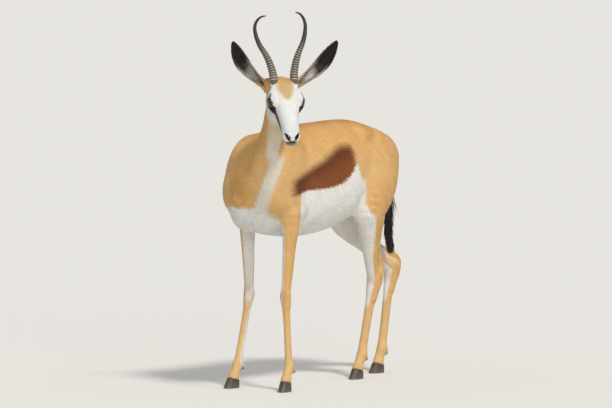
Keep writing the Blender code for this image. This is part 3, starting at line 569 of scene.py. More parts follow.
# The tuft of the tail in the scene: its top, its height and its lowest hair.
TAIL_TOP, TAIL_FALL, TAIL_LOW = 0.545, 0.165, 0.350

# The photo's camera.
METRES_PER_PIXEL = 0.00285
PHOTO_SIZE = (612, 408)
PHOTO_ORIGIN = (257.6, 389.9)
CAMERA_FAR = 24.0
AZIMUTH, ELEVATION = math.radians(40), math.radians(5)
AWAY = np.array((math.sin(AZIMUTH) * math.cos(ELEVATION), -math.cos(AZIMUTH) * math.cos(ELEVATION),
                 math.sin(ELEVATION)))
RIGHT = np.array((math.cos(AZIMUTH), math.sin(AZIMUTH), 0.0))
UP = np.cross(AWAY, RIGHT)


def ramp(low, high, value):
    t = np.clip((value - low) / (high - low), 0, 1)
    return t * t * (3 - 2 * t)


def in_head(points):
    """Places in the head's own frame: out to her left, along to the nose, up."""
    return (points - np.asarray(POLL)) @ HEAD_AXES.T


def eye_centre(side):
    return on_head((side * EYE_PLACE[0], EYE_PLACE[1], EYE_PLACE[2]))


def in_eye(points, side):
    """Places in an eye's frame: along the lids, across them, and out along the look."""
    return (points - eye_centre(side)) @ eye_axes(side).T


def coat_depth(points):
    """How far the skin lies under the coat: less on the head and the lower legs."""
    head = 1 - ramp(0.13, 0.19, np.linalg.norm(points - on_head((0, 0.09, 0)), axis=1))
    low = 1 - ramp(0.30, 0.45, points[:, 2])
    return BODY_DEPTH + (FACE_DEPTH - BODY_DEPTH) * np.maximum(head, low)


def foot_turn(name):
    return math.radians(FEET_OUT[name]) * (1 if name.endswith("left") else -1)


class Foot:
    """What lies under the coronet of one foot."""

    def __init__(self, joints, name):
        self.place = np.array(joints[-1]) * (1, 1, 0) + (0, 0, CORONET)
        turn = foot_turn(name)
        self.way = unit(np.array((0, 0, 1)) - np.array((math.sin(turn), -math.cos(turn), 0))
                        * math.tan(math.radians(CORONET_SLOPE)))

    def __call__(self, points):
        off = points - self.place
        return np.maximum(off @ self.way, np.linalg.norm(off, axis=1) - 0.055)


class Skin(Flesh):
    """The flesh without its coat, cut off at the coronets."""

    def __init__(self):
        self.steps = whole_flesh().steps
        self.feet = []
        for side, _ in SIDES:
            for joints, kind in ((FORE_JOINTS, "foreleg_"), (HIND_JOINTS, "hindleg_")):
                self.feet.append(Foot(joints[side], kind + side))
                self.cut(self.feet[-1], 0.0015)

    def value(self, points, chosen=None):
        return super().value(points, chosen) + coat_depth(points)


SKIN = Skin()
SKULL_SHAPE = Hull(SKULL, POLL, HEAD_AXES)
NECK_SHAPE = Limb(NECK)
TAIL_SHAPE = Limb(TAIL)
FORE_SHAPES = {side: Limb(leg_rows(FORE_JOINTS[side], FORE_FLESH)) for side, _ in SIDES}
HIND_SHAPES = {side: Limb(leg_rows(HIND_JOINTS[side], HIND_FLESH)) for side, _ in SIDES}


def field_at(points):
    """The skin's field at many places, leaving out the shapes that are far from each."""
    size = 0.04
    keys, group = np.unique(np.floor(points / size).astype(int), axis=0, return_inverse=True)
    group = group.ravel()
    chosen = SKIN.near((keys + 0.5) * size, size * 1.4 + 0.01)
    order = np.argsort(group, kind="stable")
    edges = np.searchsorted(group[order], np.arange(len(keys) + 1))
    found = np.empty(len(points))
    for n in range(len(keys)):
        rows = order[edges[n]:edges[n + 1]]
        found[rows] = SKIN.value(points[rows], chosen[:, n])
    return found


def settled(points, rounds):
    """The points moved onto the skin."""
    for _ in range(rounds):
        value = field_at(points)
        slope = np.stack([(field_at(points + step) - value) / SLOPE_STEP for step in np.eye(3) * SLOPE_STEP], 1)
        steep = np.maximum(np.sum(slope**2, 1), 0.3)
        move = np.clip(value / steep, -0.0015, 0.0015)
        points = points - slope * move[:, None]
    return points


def placed(name, mesh, material):
    piece = bpy.data.objects.new(name, mesh)
    bpy.context.collection.objects.link(piece)
    mesh.materials.append(material)
    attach(piece, "root")
    return piece


def piece_of(name, points, faces, material, replaced=()):
    mesh = bpy.data.meshes.new(name)
    mesh.from_pydata((np.asarray(points) + SHIFT).tolist(), [], faces)
    mesh.update()
    mesh.shade_smooth()
    piece = placed(name, mesh, material)
    if replaced:
        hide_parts(*replaced)
    return piece


def paint(mesh, colours):
    layer = mesh.color_attributes.new("coat", "FLOAT_COLOR", "POINT")
    rows = np.ones((len(colours), 4), np.float32)
    rows[:, :3] = colours
    layer.data.foreach_set("color", rows.ravel())


def turned_out(piece):
    shape = bmesh.new()
    shape.from_mesh(piece.data)
    bmesh.ops.recalc_face_normals(shape, faces=shape.faces)
    shape.to_mesh(piece.data)
    shape.free()


# Markings.


def plain(colour, points):
    return np.tile(colour, (len(points), 1))


def mixed(base, colour, amount):
    return base + (colour - base) * amount[:, None]


def leg_place(points, side):
    """How far a place is to the front (-1) or rear (1) of a hind leg at its height."""
    rows = np.array(leg_rows(HIND_JOINTS[side], HIND_FLESH))
    rows = rows[np.argsort(rows[:, 2])]
    middle = np.interp(points[:, 2], rows[:, 2], rows[:, 1])
    return (points[:, 1] - middle) / np.interp(points[:, 2], rows[:, 2], rows[:, 4])


def thigh_strip(points, x, z):
    """The white strip down the front of a hind leg."""
    ahead_of = np.where(x > 0, leg_place(points, "left"), leg_place(points, "right"))
    strip = ramp(0.10, -0.15, ahead_of - np.interp(z, *STRIP_EDGE))
    return strip * np.where(x > 0, ramp(0.600, 0.570, z), ramp(0.560, 0.500, z))


def trunk_coat(points, normals, x, y, z, strip):
    """Tan above, deeper along the back, a dark band on the flank, a white belly and rump."""
    across = np.abs(x)
    colour = plain(TAN, points)
    colour = mixed(colour, TAN_PALE, 0.55 * ramp(0.74, 0.62, z) * ramp(0.02, 0.06, across))
    ridge = ramp(0.725, 0.750, z) * ramp(0.05, 0.01, across) * ramp(0.02, 0.12, y)
    colour = mixed(colour, TAN_DEEP, 0.45 * ridge)
    low, high = np.interp(y, *BAND_LOW), np.interp(y, *BAND_HIGH)
    in_band = ramp(-0.002, 0.003, z - low) * ramp(0.012, -0.020, z - high)
    in_band = in_band * ramp(0.00, 0.05, y) * ramp(0.322, 0.288, y + 0.15 * (z - 0.66))
    inside = ramp(0.9, 0.15, (z - low) / np.maximum(high - low, 0.01))
    rich = mixed(plain(BROWN, points), BROWN_RICH, 0.80 * inside * ramp(0.05, 0.13, y))
    colour = mixed(colour, rich, 0.97 * in_band * ramp(0.045, 0.065, across))

    line = np.where(y < 0.04, 0.530 + 0.5 * np.maximum(y, 0), low)
    line = np.where(y > 0.312, 0.632 - np.where(x > 0, 2.2, 0.95) * (y - 0.312), line)
    belly = ramp(0.004, -0.004, z - line) * ramp(0.50, 0.44, y)
    belly = np.where(y < 0.06, belly * ramp(0.085, 0.060, across), belly)
    thigh = ramp(0.322, 0.334, y) * (1 - strip)
    belly = np.maximum(belly * (1 - thigh * ramp(0.035, 0.060, across)), strip * (y > 0.30))
    colour = mixed(colour, WHITE, belly)

    rear = ramp(0.35, 0.62, normals[:, 1]) * ramp(0.47, 0.52, y) * ramp(0.40, 0.46, z)
    crotch = ramp(0.060, 0.045, across) * ramp(0.60, 0.56, z) * ramp(0.39, 0.43, z) * (y > 0.36)
    rear = np.maximum(rear, crotch) * ramp(0.085, 0.060, across)
    beside = across - 0.055 * ramp(0.46, 0.60, y)
    fold = ramp(0.030, 0.018, beside) * ramp(0.40, 0.46, y) * ramp(0.60, 0.63, z)
    edge = ramp(0.058, 0.038, beside) * ramp(0.38, 0.44, y) * ramp(0.60, 0.63, z)
    colour = mixed(colour, TAN_DEEP, 0.75 * edge)
    return mixed(colour, WHITE, np.maximum(rear, fold))


def leg_coat(colour, points, normals, x, z, strip):
    """Tan on the outer and front sides, white inside and behind, paler lower down."""
    for side, sign in SIDES:
        out = normals[:, 0] * sign
        for shape, top, hind in ((FORE_SHAPES[side], 0.50, False), (HIND_SHAPES[side], 0.60, True)):
            own = ramp(0.012, 0.002, shape(points)) * ramp(top, top - 0.06, z) * (x * sign > 0)
            inner = ramp(0.05, -0.35, out + 0.25 * normals[:, 1]) * ramp(0.225, 0.275, z)
            low = ramp(-0.45, -0.95, out - 0.8 * normals[:, 1]) * ramp(0.04, 0.08, z)
            inner = np.maximum(inner, 0.80 * low)
            if hind:
                inner = np.maximum(inner * ramp(0.30, 0.38, z), strip)
            behind = 0.40 * ramp(0.30, 0.75, normals[:, 1]) * ramp(0.30, 0.22, z)
            knee = ramp(0.022, 0.0, np.abs(z - 0.285)) * ramp(0.1, 0.6, -normals[:, 1])
            leg = mixed(plain(TAN, points), TAN_PALE, 0.35 + 0.45 * ramp(0.30, 0.12, z))
            leg = mixed(leg, WHITE, np.clip(inner * 0.92 + behind, 0, 1))
            leg = mixed(leg, TAN_DEEP, 0.35 * knee)
            colour = mixed(colour, leg, own)
    return colour


def throat_coat(colour, points, normals, y, z):
    """A pale stripe down the throat, whiter below, and on over the breast."""
    rows = []
    for row in NECK[:-1]:
        turn = np.interp(row[2], (0.66, 0.80), (0.85, 0.55))
        place = np.array(row[:3]) + np.array((turn, -1.20 + 0.75 * turn, -0.20)) * row[4] * 0.95
        rows.append((*place, 0.018, 0.018, 0.0))
    on_neck = ramp(0.012, 0.0, NECK_SHAPE(points)) * ramp(0.650, 0.690, z) * (y < 0.02)
    shade = mixed(plain(CREAM, points), WHITE, 0.75 * ramp(0.80, 0.64, z))
    colour = mixed(colour, shade, 0.92 * ramp(0.011, -0.003, Limb(rows)(points)) * on_neck)
    aside = np.abs(points @ BREAST_SIDE - np.interp(z, *BREAST_MIDDLE))
    breast = ramp(0.025, 0.011, aside) * ramp(0.500, 0.530, z) * ramp(0.700, 0.660, z)
    breast = breast * ramp(0.10, 0.35, normals @ BREAST_FRONT) * (y < 0.10)
    return mixed(colour, WHITE * 0.7 + CREAM * 0.3, 0.88 * breast)


def face_coat(colour, points, loose):
    """A white face with a tan forehead, brown cheek stripes and dark eyes, nose and lips."""
    out, ahead, up = in_head(loose).T
    wide = np.abs(out)
    ragged = 0.0022 * np.sin(ahead * 900 + 2 * np.sin(out * 400)) + 0.0018 * np.sin(out * 1300 + 1)
    half = 0.026 * np.clip((0.102 - ahead) / 0.055, 0, 1) ** 0.5
    patch = ramp(0.006, -0.006, wide + ragged - half) * ramp(0.000, 0.010, up) * ramp(0.104, 0.098, ahead)
    crown = ramp(0.044, 0.030, ahead) * ramp(-0.020, 0.004, up + 0.25 * (0.02 - ahead))
    temple = ramp(0.066, 0.046, ahead + 0.35 * up) * ramp(0.030, 0.040, wide) * ramp(-0.03, 0.0, up)
    tan = 0.92 * patch + 0.88 * crown + 0.7 * temple * ramp(0.045, 0.02, ahead)
    # The face's white is painted 7% darker than the body's: painted shade that holds back the strong key light on
    # the face.
    face = mixed(plain(WHITE * 0.93, points), TAN_CROWN, np.clip(tan, 0, 0.95))

    stripe = ramp(1.10, 0.82, np.abs(up - np.interp(ahead, *CHEEK_UP) - 0.0030) / np.interp(ahead, *CHEEK_HALF))
    stripe = stripe * ramp(0.094, 0.100, ahead) * ramp(0.196, 0.184, ahead) * ramp(0.010, 0.018, wide)
    face = mixed(face, BROWN_CHEEK, 0.94 * stripe)
    behind = ramp(0.050, 0.020, ahead) * ramp(0.026, 0.034, wide) * ramp(0.01, -0.01, up)
    face = mixed(face, TAN_PALE, 0.7 * behind)
    face = mixed(face, TAN, 0.95 * ramp(0.024, 0.006, ahead))

    # The dark round each eye is partly the dark lids and lashes and partly painted shade under the brow.
    for _, side in SIDES:
        along, over, deep = in_eye(points, side).T
        for shape, soft, hard, share in (
                (np.hypot((along + 0.001) / 1.50, over), 0.0136, 0.0112, 1.0),
                (np.hypot((along + 0.0215) / 1.9, over + 0.0012), 0.0072, 0.0048, 0.95),
                (np.hypot((along - 0.0190) / 2.2, over - side * EYE_WING), 0.0046, 0.0028, 0.85)):
            face = mixed(face, DARK, share * ramp(soft, hard, shape) * (deep > 0))
    corner = np.linalg.norm(np.column_stack([wide - 0.0385, ahead - 0.1080, up - 0.0090]), axis=1)
    face = mixed(face, DARK, 0.95 * ramp(0.0110, 0.0080, corner))

    pad = ramp(0.0050, 0.0030, np.abs(wide - np.interp(up, *NOSE_EDGE))) * ramp(0.199, 0.203, ahead)
    face = mixed(face, DARK, pad * ramp(0.0075, 0.0045, up) * ramp(-0.0165, -0.0145, up))
    lips = Limb([(*on_head(place), 0.0038, 0.0034, 0) for place in LIP_LINE])
    mirrored = points - 2 * out[:, None] * HEAD_AXES[0]
    face = mixed(face, DARK, 0.9 * ramp(0.0022, 0.0006, np.minimum(lips(points), lips(mirrored))))
    middle = ramp(0.0016, 0.0008, wide) * ramp(-0.018, -0.016, up) * ramp(-0.008, -0.011, up)
    face = mixed(face, DARK, 0.9 * middle * ramp(0.205, 0.209, ahead))
    # Painted shade under the lower lip, on the underside of the chin.
    chin_shade = ramp(0.0165, 0.0120, wide) * ramp(-0.0195, -0.0215, up) * ramp(-0.0345, -0.0300, up)
    face = mixed(face, CHIN_SHADE, 0.80 * chin_shade * ramp(0.190, 0.200, ahead))
    return mixed(colour, face, ramp(0.030, 0.010, SKULL_SHAPE(points)) * ramp(-0.035, 0.000, ahead))


def coat_colour(points, normals, jitter=0.0):
    """The markings at each place, with ragged edges of that size."""
    loose = points + DICE.normal(0, 1, points.shape) * jitter
    x, y, z = loose.T
    strip = thigh_strip(points, x, z)
    colour = trunk_coat(points, normals, x, y, z, strip)
    colour = leg_coat(colour, points, normals, x, z, strip)
    colour = throat_coat(colour, points, normals, y, z)
    colour = face_coat(colour, points, loose)
    tail = mixed(plain(WHITE, points), DARK, 0.95 * ramp(0.600, 0.565, z))
    return mixed(colour, tail, ramp(0.008, 0.001, TAIL_SHAPE(points)) * (y > 0.56))


# Materials.


def nodes_of(name):
    material = bpy.data.materials.new(name)
    material.use_nodes = True
    tree = material.node_tree
    return material, tree, tree.nodes["Principled BSDF"]


def linked(tree, kind, inputs=(), **settings):
    """A new node with those settings and inputs, and its first output."""
    node = tree.nodes.new(kind)
    for key, value in settings.items():
        setattr(node, key, value)
    for key, value in dict(inputs).items():
        if isinstance(value, bpy.types.NodeSocket):
            tree.links.new(value, node.inputs[key])
        else:
            node.inputs[key].default_value = value
    return node.outputs[0]


def noise(tree, scale, detail, rough=0.5, stretch=None):
    place = tree.nodes.new("ShaderNodeTexCoord").outputs["Object"]
    if stretch:
        place = linked(tree, "ShaderNodeMapping", {"Vector": place, "Scale": stretch})
    inputs = {"Vector": place, "Scale": scale, "Detail": detail, "Roughness": rough}
    return linked(tree, "ShaderNodeTexNoise", inputs)


def ranged(tree, value, low, high, ends=(0.3, 0.7)):
    inputs = {"Value": value, "From Min": ends[0], "From Max": ends[1], "To Min": low, "To Max": high}
    return linked(tree, "ShaderNodeMapRange", inputs)


def painted(tree, surface, factor):
    """The markings, lighter and darker by the factor."""
    colour = linked(tree, "ShaderNodeAttribute", attribute_name="coat")
    tone = linked(tree, "ShaderNodeVectorMath", {0: colour, "Scale": factor}, operation="SCALE")
    tree.links.new(tone, surface.inputs["Base Color"])


def raised(tree, surface, height, strength, distance):
    inputs = {"Height": height, "Strength": strength, "Distance": distance}
    tree.links.new(linked(tree, "ShaderNodeBump", inputs), surface.inputs["Normal"])


def coat_material(name, scale, bump, rough, gleam):
    """Painted by the markings, mottled and streaked like hair."""
    material, tree, surface = nodes_of(name)
    hair, patches = noise(tree, scale, 4.0, 0.65), noise(tree, 22.0, 3.0)
    factor = linked(tree, "ShaderNodeMath", {
        0: ranged(tree, hair, 0.88, 1.10), 1: ranged(tree, patches, 0.95, 1.05)}, operation="MULTIPLY")
    painted(tree, surface, factor)
    dull = ranged(tree, patches, rough - 0.08, rough + 0.08, (0, 1))
    tree.links.new(dull, surface.inputs["Roughness"])
    raised(tree, surface, hair, 0.6, bump)
    surface.inputs["Specular IOR Level"].default_value = gleam
    surface.inputs["Sheen Weight"].default_value = 0.02
    surface.inputs["Sheen Roughness"].default_value = 0.4
    return material


def horn_material(name):
    """Horn and claw: streaked along the grain, worn smoother in patches."""
    material, tree, surface = nodes_of(name)
    grain, worn = noise(tree, 420.0, 5.0, 0.7, (1, 1, 0.15)), noise(tree, 70.0, 4.0)
    painted(tree, surface, ranged(tree, grain, 0.68, 1.25))
    tree.links.new(ranged(tree, worn, 0.36, 0.62), surface.inputs["Roughness"])
    raised(tree, surface, grain, 0.5, 0.0006)
    return material


def eye_material():
    material, tree, surface = nodes_of("eye_wet")
    painted(tree, surface, ranged(tree, noise(tree, 600.0, 3.0), 0.7, 1.3))
    surface.inputs["Roughness"].default_value = 0.06
    surface.inputs["Coat Weight"].default_value = 0.5
    surface.inputs["Coat Roughness"].default_value = 0.02
    return material


# Skin.


def fine_zones(points, finest):
    """Where the skin's mesh is divided once, or again: head and feet, then eyes and muzzle."""
    _, ahead, up = in_head(points).T
    if not finest:
        head = (np.linalg.norm(points - on_head((0, 0.10, 0)), axis=1) < 0.135) & (up - 0.5 * ahead > -0.125)
        return head | (points[:, 2] < 0.085)
    found = (ahead > 0.155) & (np.abs(up + 0.010) < 0.035)
    for _, side in SIDES:
        found |= np.linalg.norm(points - eye_centre(side), axis=1) < 0.027
    return found


def build_skin():
    """Points and faces of the whole skin, finer where the face and feet need it."""
    points, quads = meshed(SKIN, *SKIN_BOX, SKIN_STEP)
    points = settled(points, 1)
    mesh = bpy.data.meshes.new("skin")
    mesh.from_pydata(points.tolist(), [], quads.tolist())
    shape = bmesh.new()
    shape.from_mesh(mesh)
    bpy.data.meshes.remove(mesh)
    shape.verts.index_update()
    for finest in (False, True):
        zone = fine_zones(points, finest)
        count = len(points)
        edges = [edge for edge in shape.edges if zone[edge.verts[0].index] and zone[edge.verts[1].index]]
        bmesh.ops.subdivide_edges(shape, edges=edges, cuts=1, use_grid_fill=True)
        shape.verts.index_update()
        points = np.array([vertex.co[:] for vertex in shape.verts])
        moved = np.arange(len(points)) >= count
        moved[:count] = zone
        points[moved] = settled(points[moved], 2 if finest else 1)
        for vertex, point in zip(shape.verts, points):
            vertex.co = point
    faces = [[vertex.index for vertex in face.verts] for face in shape.faces]
    shape.free()
    return points, faces


def skin_uv(piece):
    """Unwraps the skin by its own shape, in islands."""
    bpy.context.view_layer.objects.active = piece
    piece.select_set(True)
    piece.data.uv_layers.new(name="OFBake")
    bpy.ops.object.mode_set(mode="EDIT")
    bpy.ops.mesh.select_all(action="SELECT")
    bpy.ops.uv.smart_project(angle_limit=math.radians(66), island_margin=0.0015)
    bpy.ops.object.mode_set(mode="OBJECT")
    piece.select_set(False)


# Coat.


def lie_of_coat(points):
    """Which way the hair lies: back from the nose, down the neck, along the trunk, down the legs."""
    shapes = [(SKULL_SHAPE, -HEAD_AXES[1] + np.array((0, 0, -0.10)), 0.006),
              (NECK_SHAPE, np.array((-0.45, 0.35, -0.95)), 0.012),
              (Hull(TRUNK), np.array((0, 1.0, -0.42)), 0.020),
              (TAIL_SHAPE, np.array((0, 0.1, -1.0)), 0.004)]
    for side, _ in SIDES:
        shapes.append((FORE_SHAPES[side], np.array((0, 0.12, -1.0)), 0.010))
        shapes.append((HIND_SHAPES[side], np.array((0, 0.30, -1.0)), 0.014))
    total = np.zeros_like(points)
    for shape, way, soft in shapes:
        weight = np.exp(-np.clip(shape(points) / soft, -1.5, 30))
        total += weight[:, None] * unit(way)
    return total


def read(rows, key, width, kind=float):
    """One value of every vertex, loop or triangle of a mesh, as an array."""
    found = np.empty(len(rows) * width, kind)
    rows.foreach_get(key, found)
    return found.reshape(-1, width)


def skin_samples(piece, density):
    """Random places on the skin: where, which way is out, and where on its unwrap."""
    mesh = piece.data
    mesh.calc_loop_triangles()
    corners = read(mesh.loop_triangles, "vertices", 3, np.int32)
    loops = read(mesh.loop_triangles, "loops", 3, np.int32)
    points = read(mesh.vertices, "co", 3) - SHIFT
    normals = read(mesh.vertex_normals, "vector", 3)
    uvs = read(mesh.uv_layers["OFBake"].data, "uv", 2)
    tri = points[corners]
    area = np.linalg.norm(np.cross(tri[:, 1] - tri[:, 0], tri[:, 2] - tri[:, 0]), axis=1) / 2
    expected = area * density(tri.mean(1))
    number = np.floor(expected + DICE.random(len(corners))).astype(int)
    rows = np.repeat(np.arange(len(corners)), number)
    share = DICE.random((len(rows), 2))
    flip = share.sum(1) > 1
    share[flip] = 1 - share[flip]
    weights = np.column_stack([1 - share.sum(1), share])[:, :, None]
    out = (normals[corners[rows]] * weights).sum(1)
    out /= np.linalg.norm(out, axis=1)[:, None]
    return (points[corners[rows]] * weights).sum(1), out, (uvs[loops[rows]] * weights).sum(1)


def hair_piece(name, points, polys, sizes, spots, tones, colours, uv, material, out=None):
    """One mesh of many tufts or locks that share their polygons; out softens their shading."""
    n, count = points.shape[:2]
    mesh = bpy.data.meshes.new(name)
    mesh.vertices.add(n * count)
    mesh.vertices.foreach_set("co", (points + SHIFT).astype(np.float32).ravel())
    loops = (np.arange(n)[:, None] * count + polys).ravel()
    mesh.loops.add(len(loops))
    mesh.loops.foreach_set("vertex_index", loops.astype(np.int32))
    mesh.polygons.add(n * len(sizes))
    starts = np.concatenate([[0], np.cumsum(np.tile(sizes, n))[:-1]])
    mesh.polygons.foreach_set("loop_start", starts.astype(np.int32))
    layer = mesh.uv_layers.new(name="OFBake")
    where = np.repeat(uv, len(polys), 0) + np.tile((np.array(spots) * UV_PATCH)[polys], (n, 1))
    layer.data.foreach_set("uv", where.astype(np.float32).ravel())
    mesh.update(calc_edges=True)
    mesh.shade_smooth()
    if out is not None:
        own = read(mesh.vertex_normals, "vector", 3, np.float32)
        soft = own.reshape(n, count, 3) * 0.30 + out[:, None, :]
        soft /= np.linalg.norm(soft, axis=2)[:, :, None]
        mesh.normals_split_custom_set_from_vertices(soft.reshape(-1, 3).tolist())
    paint(mesh, (colours[:, None, :] * np.array(tones)[:, None]).reshape(-1, 3))
    placed(name, mesh, material)


def tufts(name, roots, out, ways, length, width, lift, colours, uv, material):
    """Bent, tapered tufts of hair, each lying along its way, in one mesh."""
    ways = ways - out * np.sum(ways * out, 1)[:, None]
    ways /= np.maximum(np.linalg.norm(ways, axis=1), 1e-6)[:, None]
    side = np.cross(out, ways)
    length, width, lift = (np.broadcast_to(v, len(roots))[:, None] for v in (length, width, lift))
    start = roots - out * 0.0007
    middle = roots + ways * length * 0.5 + out * lift * 0.75
    tip = roots + ways * length + out * lift
    ridge = out * width * 0.20
    points = np.stack([start - side * width * 0.36, start + side * width * 0.36, start + ridge,
                       middle - side * width * 0.5, middle + side * width * 0.5, middle + ridge, tip], 1)
    polys = np.array((0, 2, 1, 0, 1, 4, 3, 1, 2, 5, 4, 2, 0, 3, 5, 3, 4, 6, 4, 5, 6, 5, 3, 6))
    spots = ((-0.5, -0.5), (0.5, -0.5), (0.0, -0.4), (-0.5, 0.1), (0.5, 0.1), (0.0, 0.2), (0.0, 0.5))
    hair_piece(name, points, polys, (3, 4, 4, 4, 3, 3, 3), spots, (0.86, 0.86, 0.88, 0.98, 0.98, 1.0, 1.07),
               colours, uv, material, out)


def strands(name, roots, ways, bends, length, width, colours, uv, material, steps):
    """Long, tapered, bending locks of hair in one mesh."""
    n = len(roots)
    ways = ways / np.linalg.norm(ways, axis=1)[:, None]
    length, width = (np.broadcast_to(v, n)[:, None] for v in (length, width))
    side = np.cross(ways, bends + DICE.normal(0, 0.35, (n, 3)))
    side /= np.maximum(np.linalg.norm(side, axis=1), 1e-6)[:, None]
    up = np.cross(side, ways)
    rings, tones, spots = [], [], []
    for row in range(steps):
        share = row / steps
        middle = roots + (ways * share + bends * share**2) * length
        size = width * (0.55 + 1.0 * share) * (1 - share**1.6)
        for turn in (0.0, math.tau / 3, 2 * math.tau / 3):
            rings.append(middle + (side * math.cos(turn) + up * 0.6 * math.sin(turn)) * size)
            tones.append(0.8 + 0.3 * share)
            spots.append((math.cos(turn) * 0.4, share - 0.5))
    rings.append(roots + (ways + bends) * length)
    tones.append(1.15)
    spots.append((0.0, 0.5))
    last = 3 * steps - 3
    polys, sizes = [0, 1, 2], [3] + [4] * last + [3] * 3
    for low in range(0, last, 3):
        for i in range(3):
            j = (i + 1) % 3
            polys += [low + j, low + i, low + 3 + i, low + 3 + j]
    for i in range(3):
        polys += [last + (i + 1) % 3, last + i, last + 3]
    hair_piece(name, np.stack(rings, 1), np.array(polys), sizes, spots, tones, colours, uv, material)


def tuft_sizes(points):
    """Length, width and lift of a tuft at each place."""
    _, ahead, _ = in_head(points).T
    head = 1 - ramp(0.11, 0.16, np.linalg.norm(points - on_head((0, 0.08, 0)), axis=1))
    muzzle = head * ramp(0.10, 0.17, ahead)
    legs = 1 - ramp(0.30, 0.45, points[:, 2])
    feet = 1 - ramp(0.08, 0.14, points[:, 2])
    shin = legs * (1 - feet)
    length = 0.0120 - 0.0055 * head - 0.0025 * muzzle - 0.0040 * shin - 0.0058 * feet
    width = 0.0019 - 0.0008 * head - 0.0002 * muzzle - 0.0005 * shin - 0.0007 * feet
    return length, width, 0.0006 - 0.0003 * np.maximum(head, legs)


def coat_density(points):
    """How many tufts to a square metre of skin; none on the lids, the nose pad and the coronets."""
    length, width, _ = tuft_sizes(points)
    number = 1.9 / (length * width)
    _, ahead, up = in_head(points).T
    for _, side in SIDES:
        along, over, deep = in_eye(points, side).T
        lids = (np.hypot(along / 1.42, over) < 0.0112) & (deep > -0.002) & (deep < 0.03)
        number = np.where(lids, 0, number)
    number = np.where((ahead > 0.2075) & (up > -0.030), 0, number)
    for foot in SKIN.feet:
        off = points - foot.place
        number = np.where((np.abs(off @ foot.way) < 0.0006) & (np.linalg.norm(off, axis=1) < 0.05), 0, number)
    return number


def grow_coat(skin, material):
    """Tufts all over the skin, in pieces from the nose to the tail."""
    roots, out, uv = skin_samples(skin, coat_density)
    colours = coat_colour(roots, out, 0.0009)
    length, width, lift = tuft_sizes(roots)
    n = len(roots)
    length = length * (0.75 + 0.5 * DICE.random(n))
    width = width * (0.8 + 0.4 * DICE.random(n))
    lift = lift * (0.35 + 0.85 * DICE.random(n))
    ways = lie_of_coat(roots)
    ways /= np.maximum(np.linalg.norm(ways, axis=1), 1e-6)[:, None]
    wander = np.sin(roots @ np.array((37.0, 23.0, 31.0))) * 0.12
    ways = ways + np.cross(ways, out) * wander[:, None] + DICE.normal(0, 0.08, (n, 3))
    waves = np.sin(roots @ np.array((90.0, 160.0, 120.0)))[:, None]
    colours = np.clip(colours * (1 + DICE.normal(0, 0.060, (n, 1)) + 0.02 * waves), 0.004, 1)
    groups = np.array_split(np.argsort(roots[:, 1]), math.ceil(n / TUFTS_IN_A_PIECE))
    for number, rows in enumerate(groups, 1):
        tufts("coat_%d" % number, roots[rows], out[rows], ways[rows], length[rows], width[rows], lift[rows],
              colours[rows], uv[rows], material)


# Horns, ears, eyes and feet.


def grid_faces(rows, sides):
    """Faces of a tube of rings, closed at both ends."""
    faces = []
    for row in range(rows - 1):
        for i in range(sides):
            j = (i + 1) % sides
            faces.append((row * sides + i, row * sides + j, (row + 1) * sides + j, (row + 1) * sides + i))
    return faces + [tuple(range(sides))[::-1], tuple(range((rows - 1) * sides, rows * sides))]


def tube_piece(name, points, rows, sides, colours, material):
    """A closed tube of rings in place of the node of that name."""
    piece = piece_of(name, points, grid_faces(rows, sides), material, [name])
    turned_out(piece)
    paint(piece.data, np.array(colours))
    return piece


def fine_horn(name, side, material):
    """A horn with raised rings up to its smooth tip."""
    rows = smooth_rows(HORN, 6)
    rise = HORN_RISE["left" if side > 0 else "right"]
    line = on_head(HORN_PLACE) + (rows[:, :3] * (side, 1, rise)) @ LEVEL_AXES
    travel = np.concatenate([[0], np.cumsum(np.linalg.norm(np.diff(line, axis=0), axis=1))])
    shares = np.concatenate([np.linspace(0, HORN_RINGED, HORN_RINGS * 10),
                             np.linspace(HORN_RINGED, 0.995, 26)[1:]])
    table = np.column_stack([np.interp(shares * travel[-1], travel, column) for column in (*line.T, rows[:, 3])])
    sides, points, colours = 28, [], []
    for share, row, way in zip(shares, table, np.gradient(table[:, :3], axis=0)):
        way = unit(way)
        across = unit(LEVEL_AXES[1] - way * (LEVEL_AXES[1] @ way))
        other = np.cross(way, across)
        wave = (share - 0.075) / (HORN_RINGED - 0.075) * HORN_RINGS
        crest = math.exp(-((wave % 1.0 - 0.5) / 0.26) ** 2) if 0 < wave < HORN_RINGS else 0.3
        fade = 1 - 0.55 * ramp(0.40, HORN_RINGED, share)
        pale = crest**2 * ramp(0.62, 0.40, share) * np.array((0.42, 0.35, 0.27))
        foot = np.array((0.05, 0.042, 0.032)) * ramp(0.30, 0.0, share)
        for i in range(sides):
            turn = i * math.tau / sides
            front = 0.75 - 0.25 * math.cos(turn)
            ridge = 1 + (0.095 * crest - 0.050) * fade * front + 0.010 * math.sin(7 * turn + 3 * share)
            place = 1.06 * math.cos(turn) * across + 0.92 * math.sin(turn) * other
            points.append(row[:3] + row[3] / 2 * ridge * place)
            colours.append((np.array((0.030, 0.023, 0.018)) + pale * front) * (1 - 0.40 * share) + foot)
    tube_piece(name, points, len(shares), sides, colours, material)


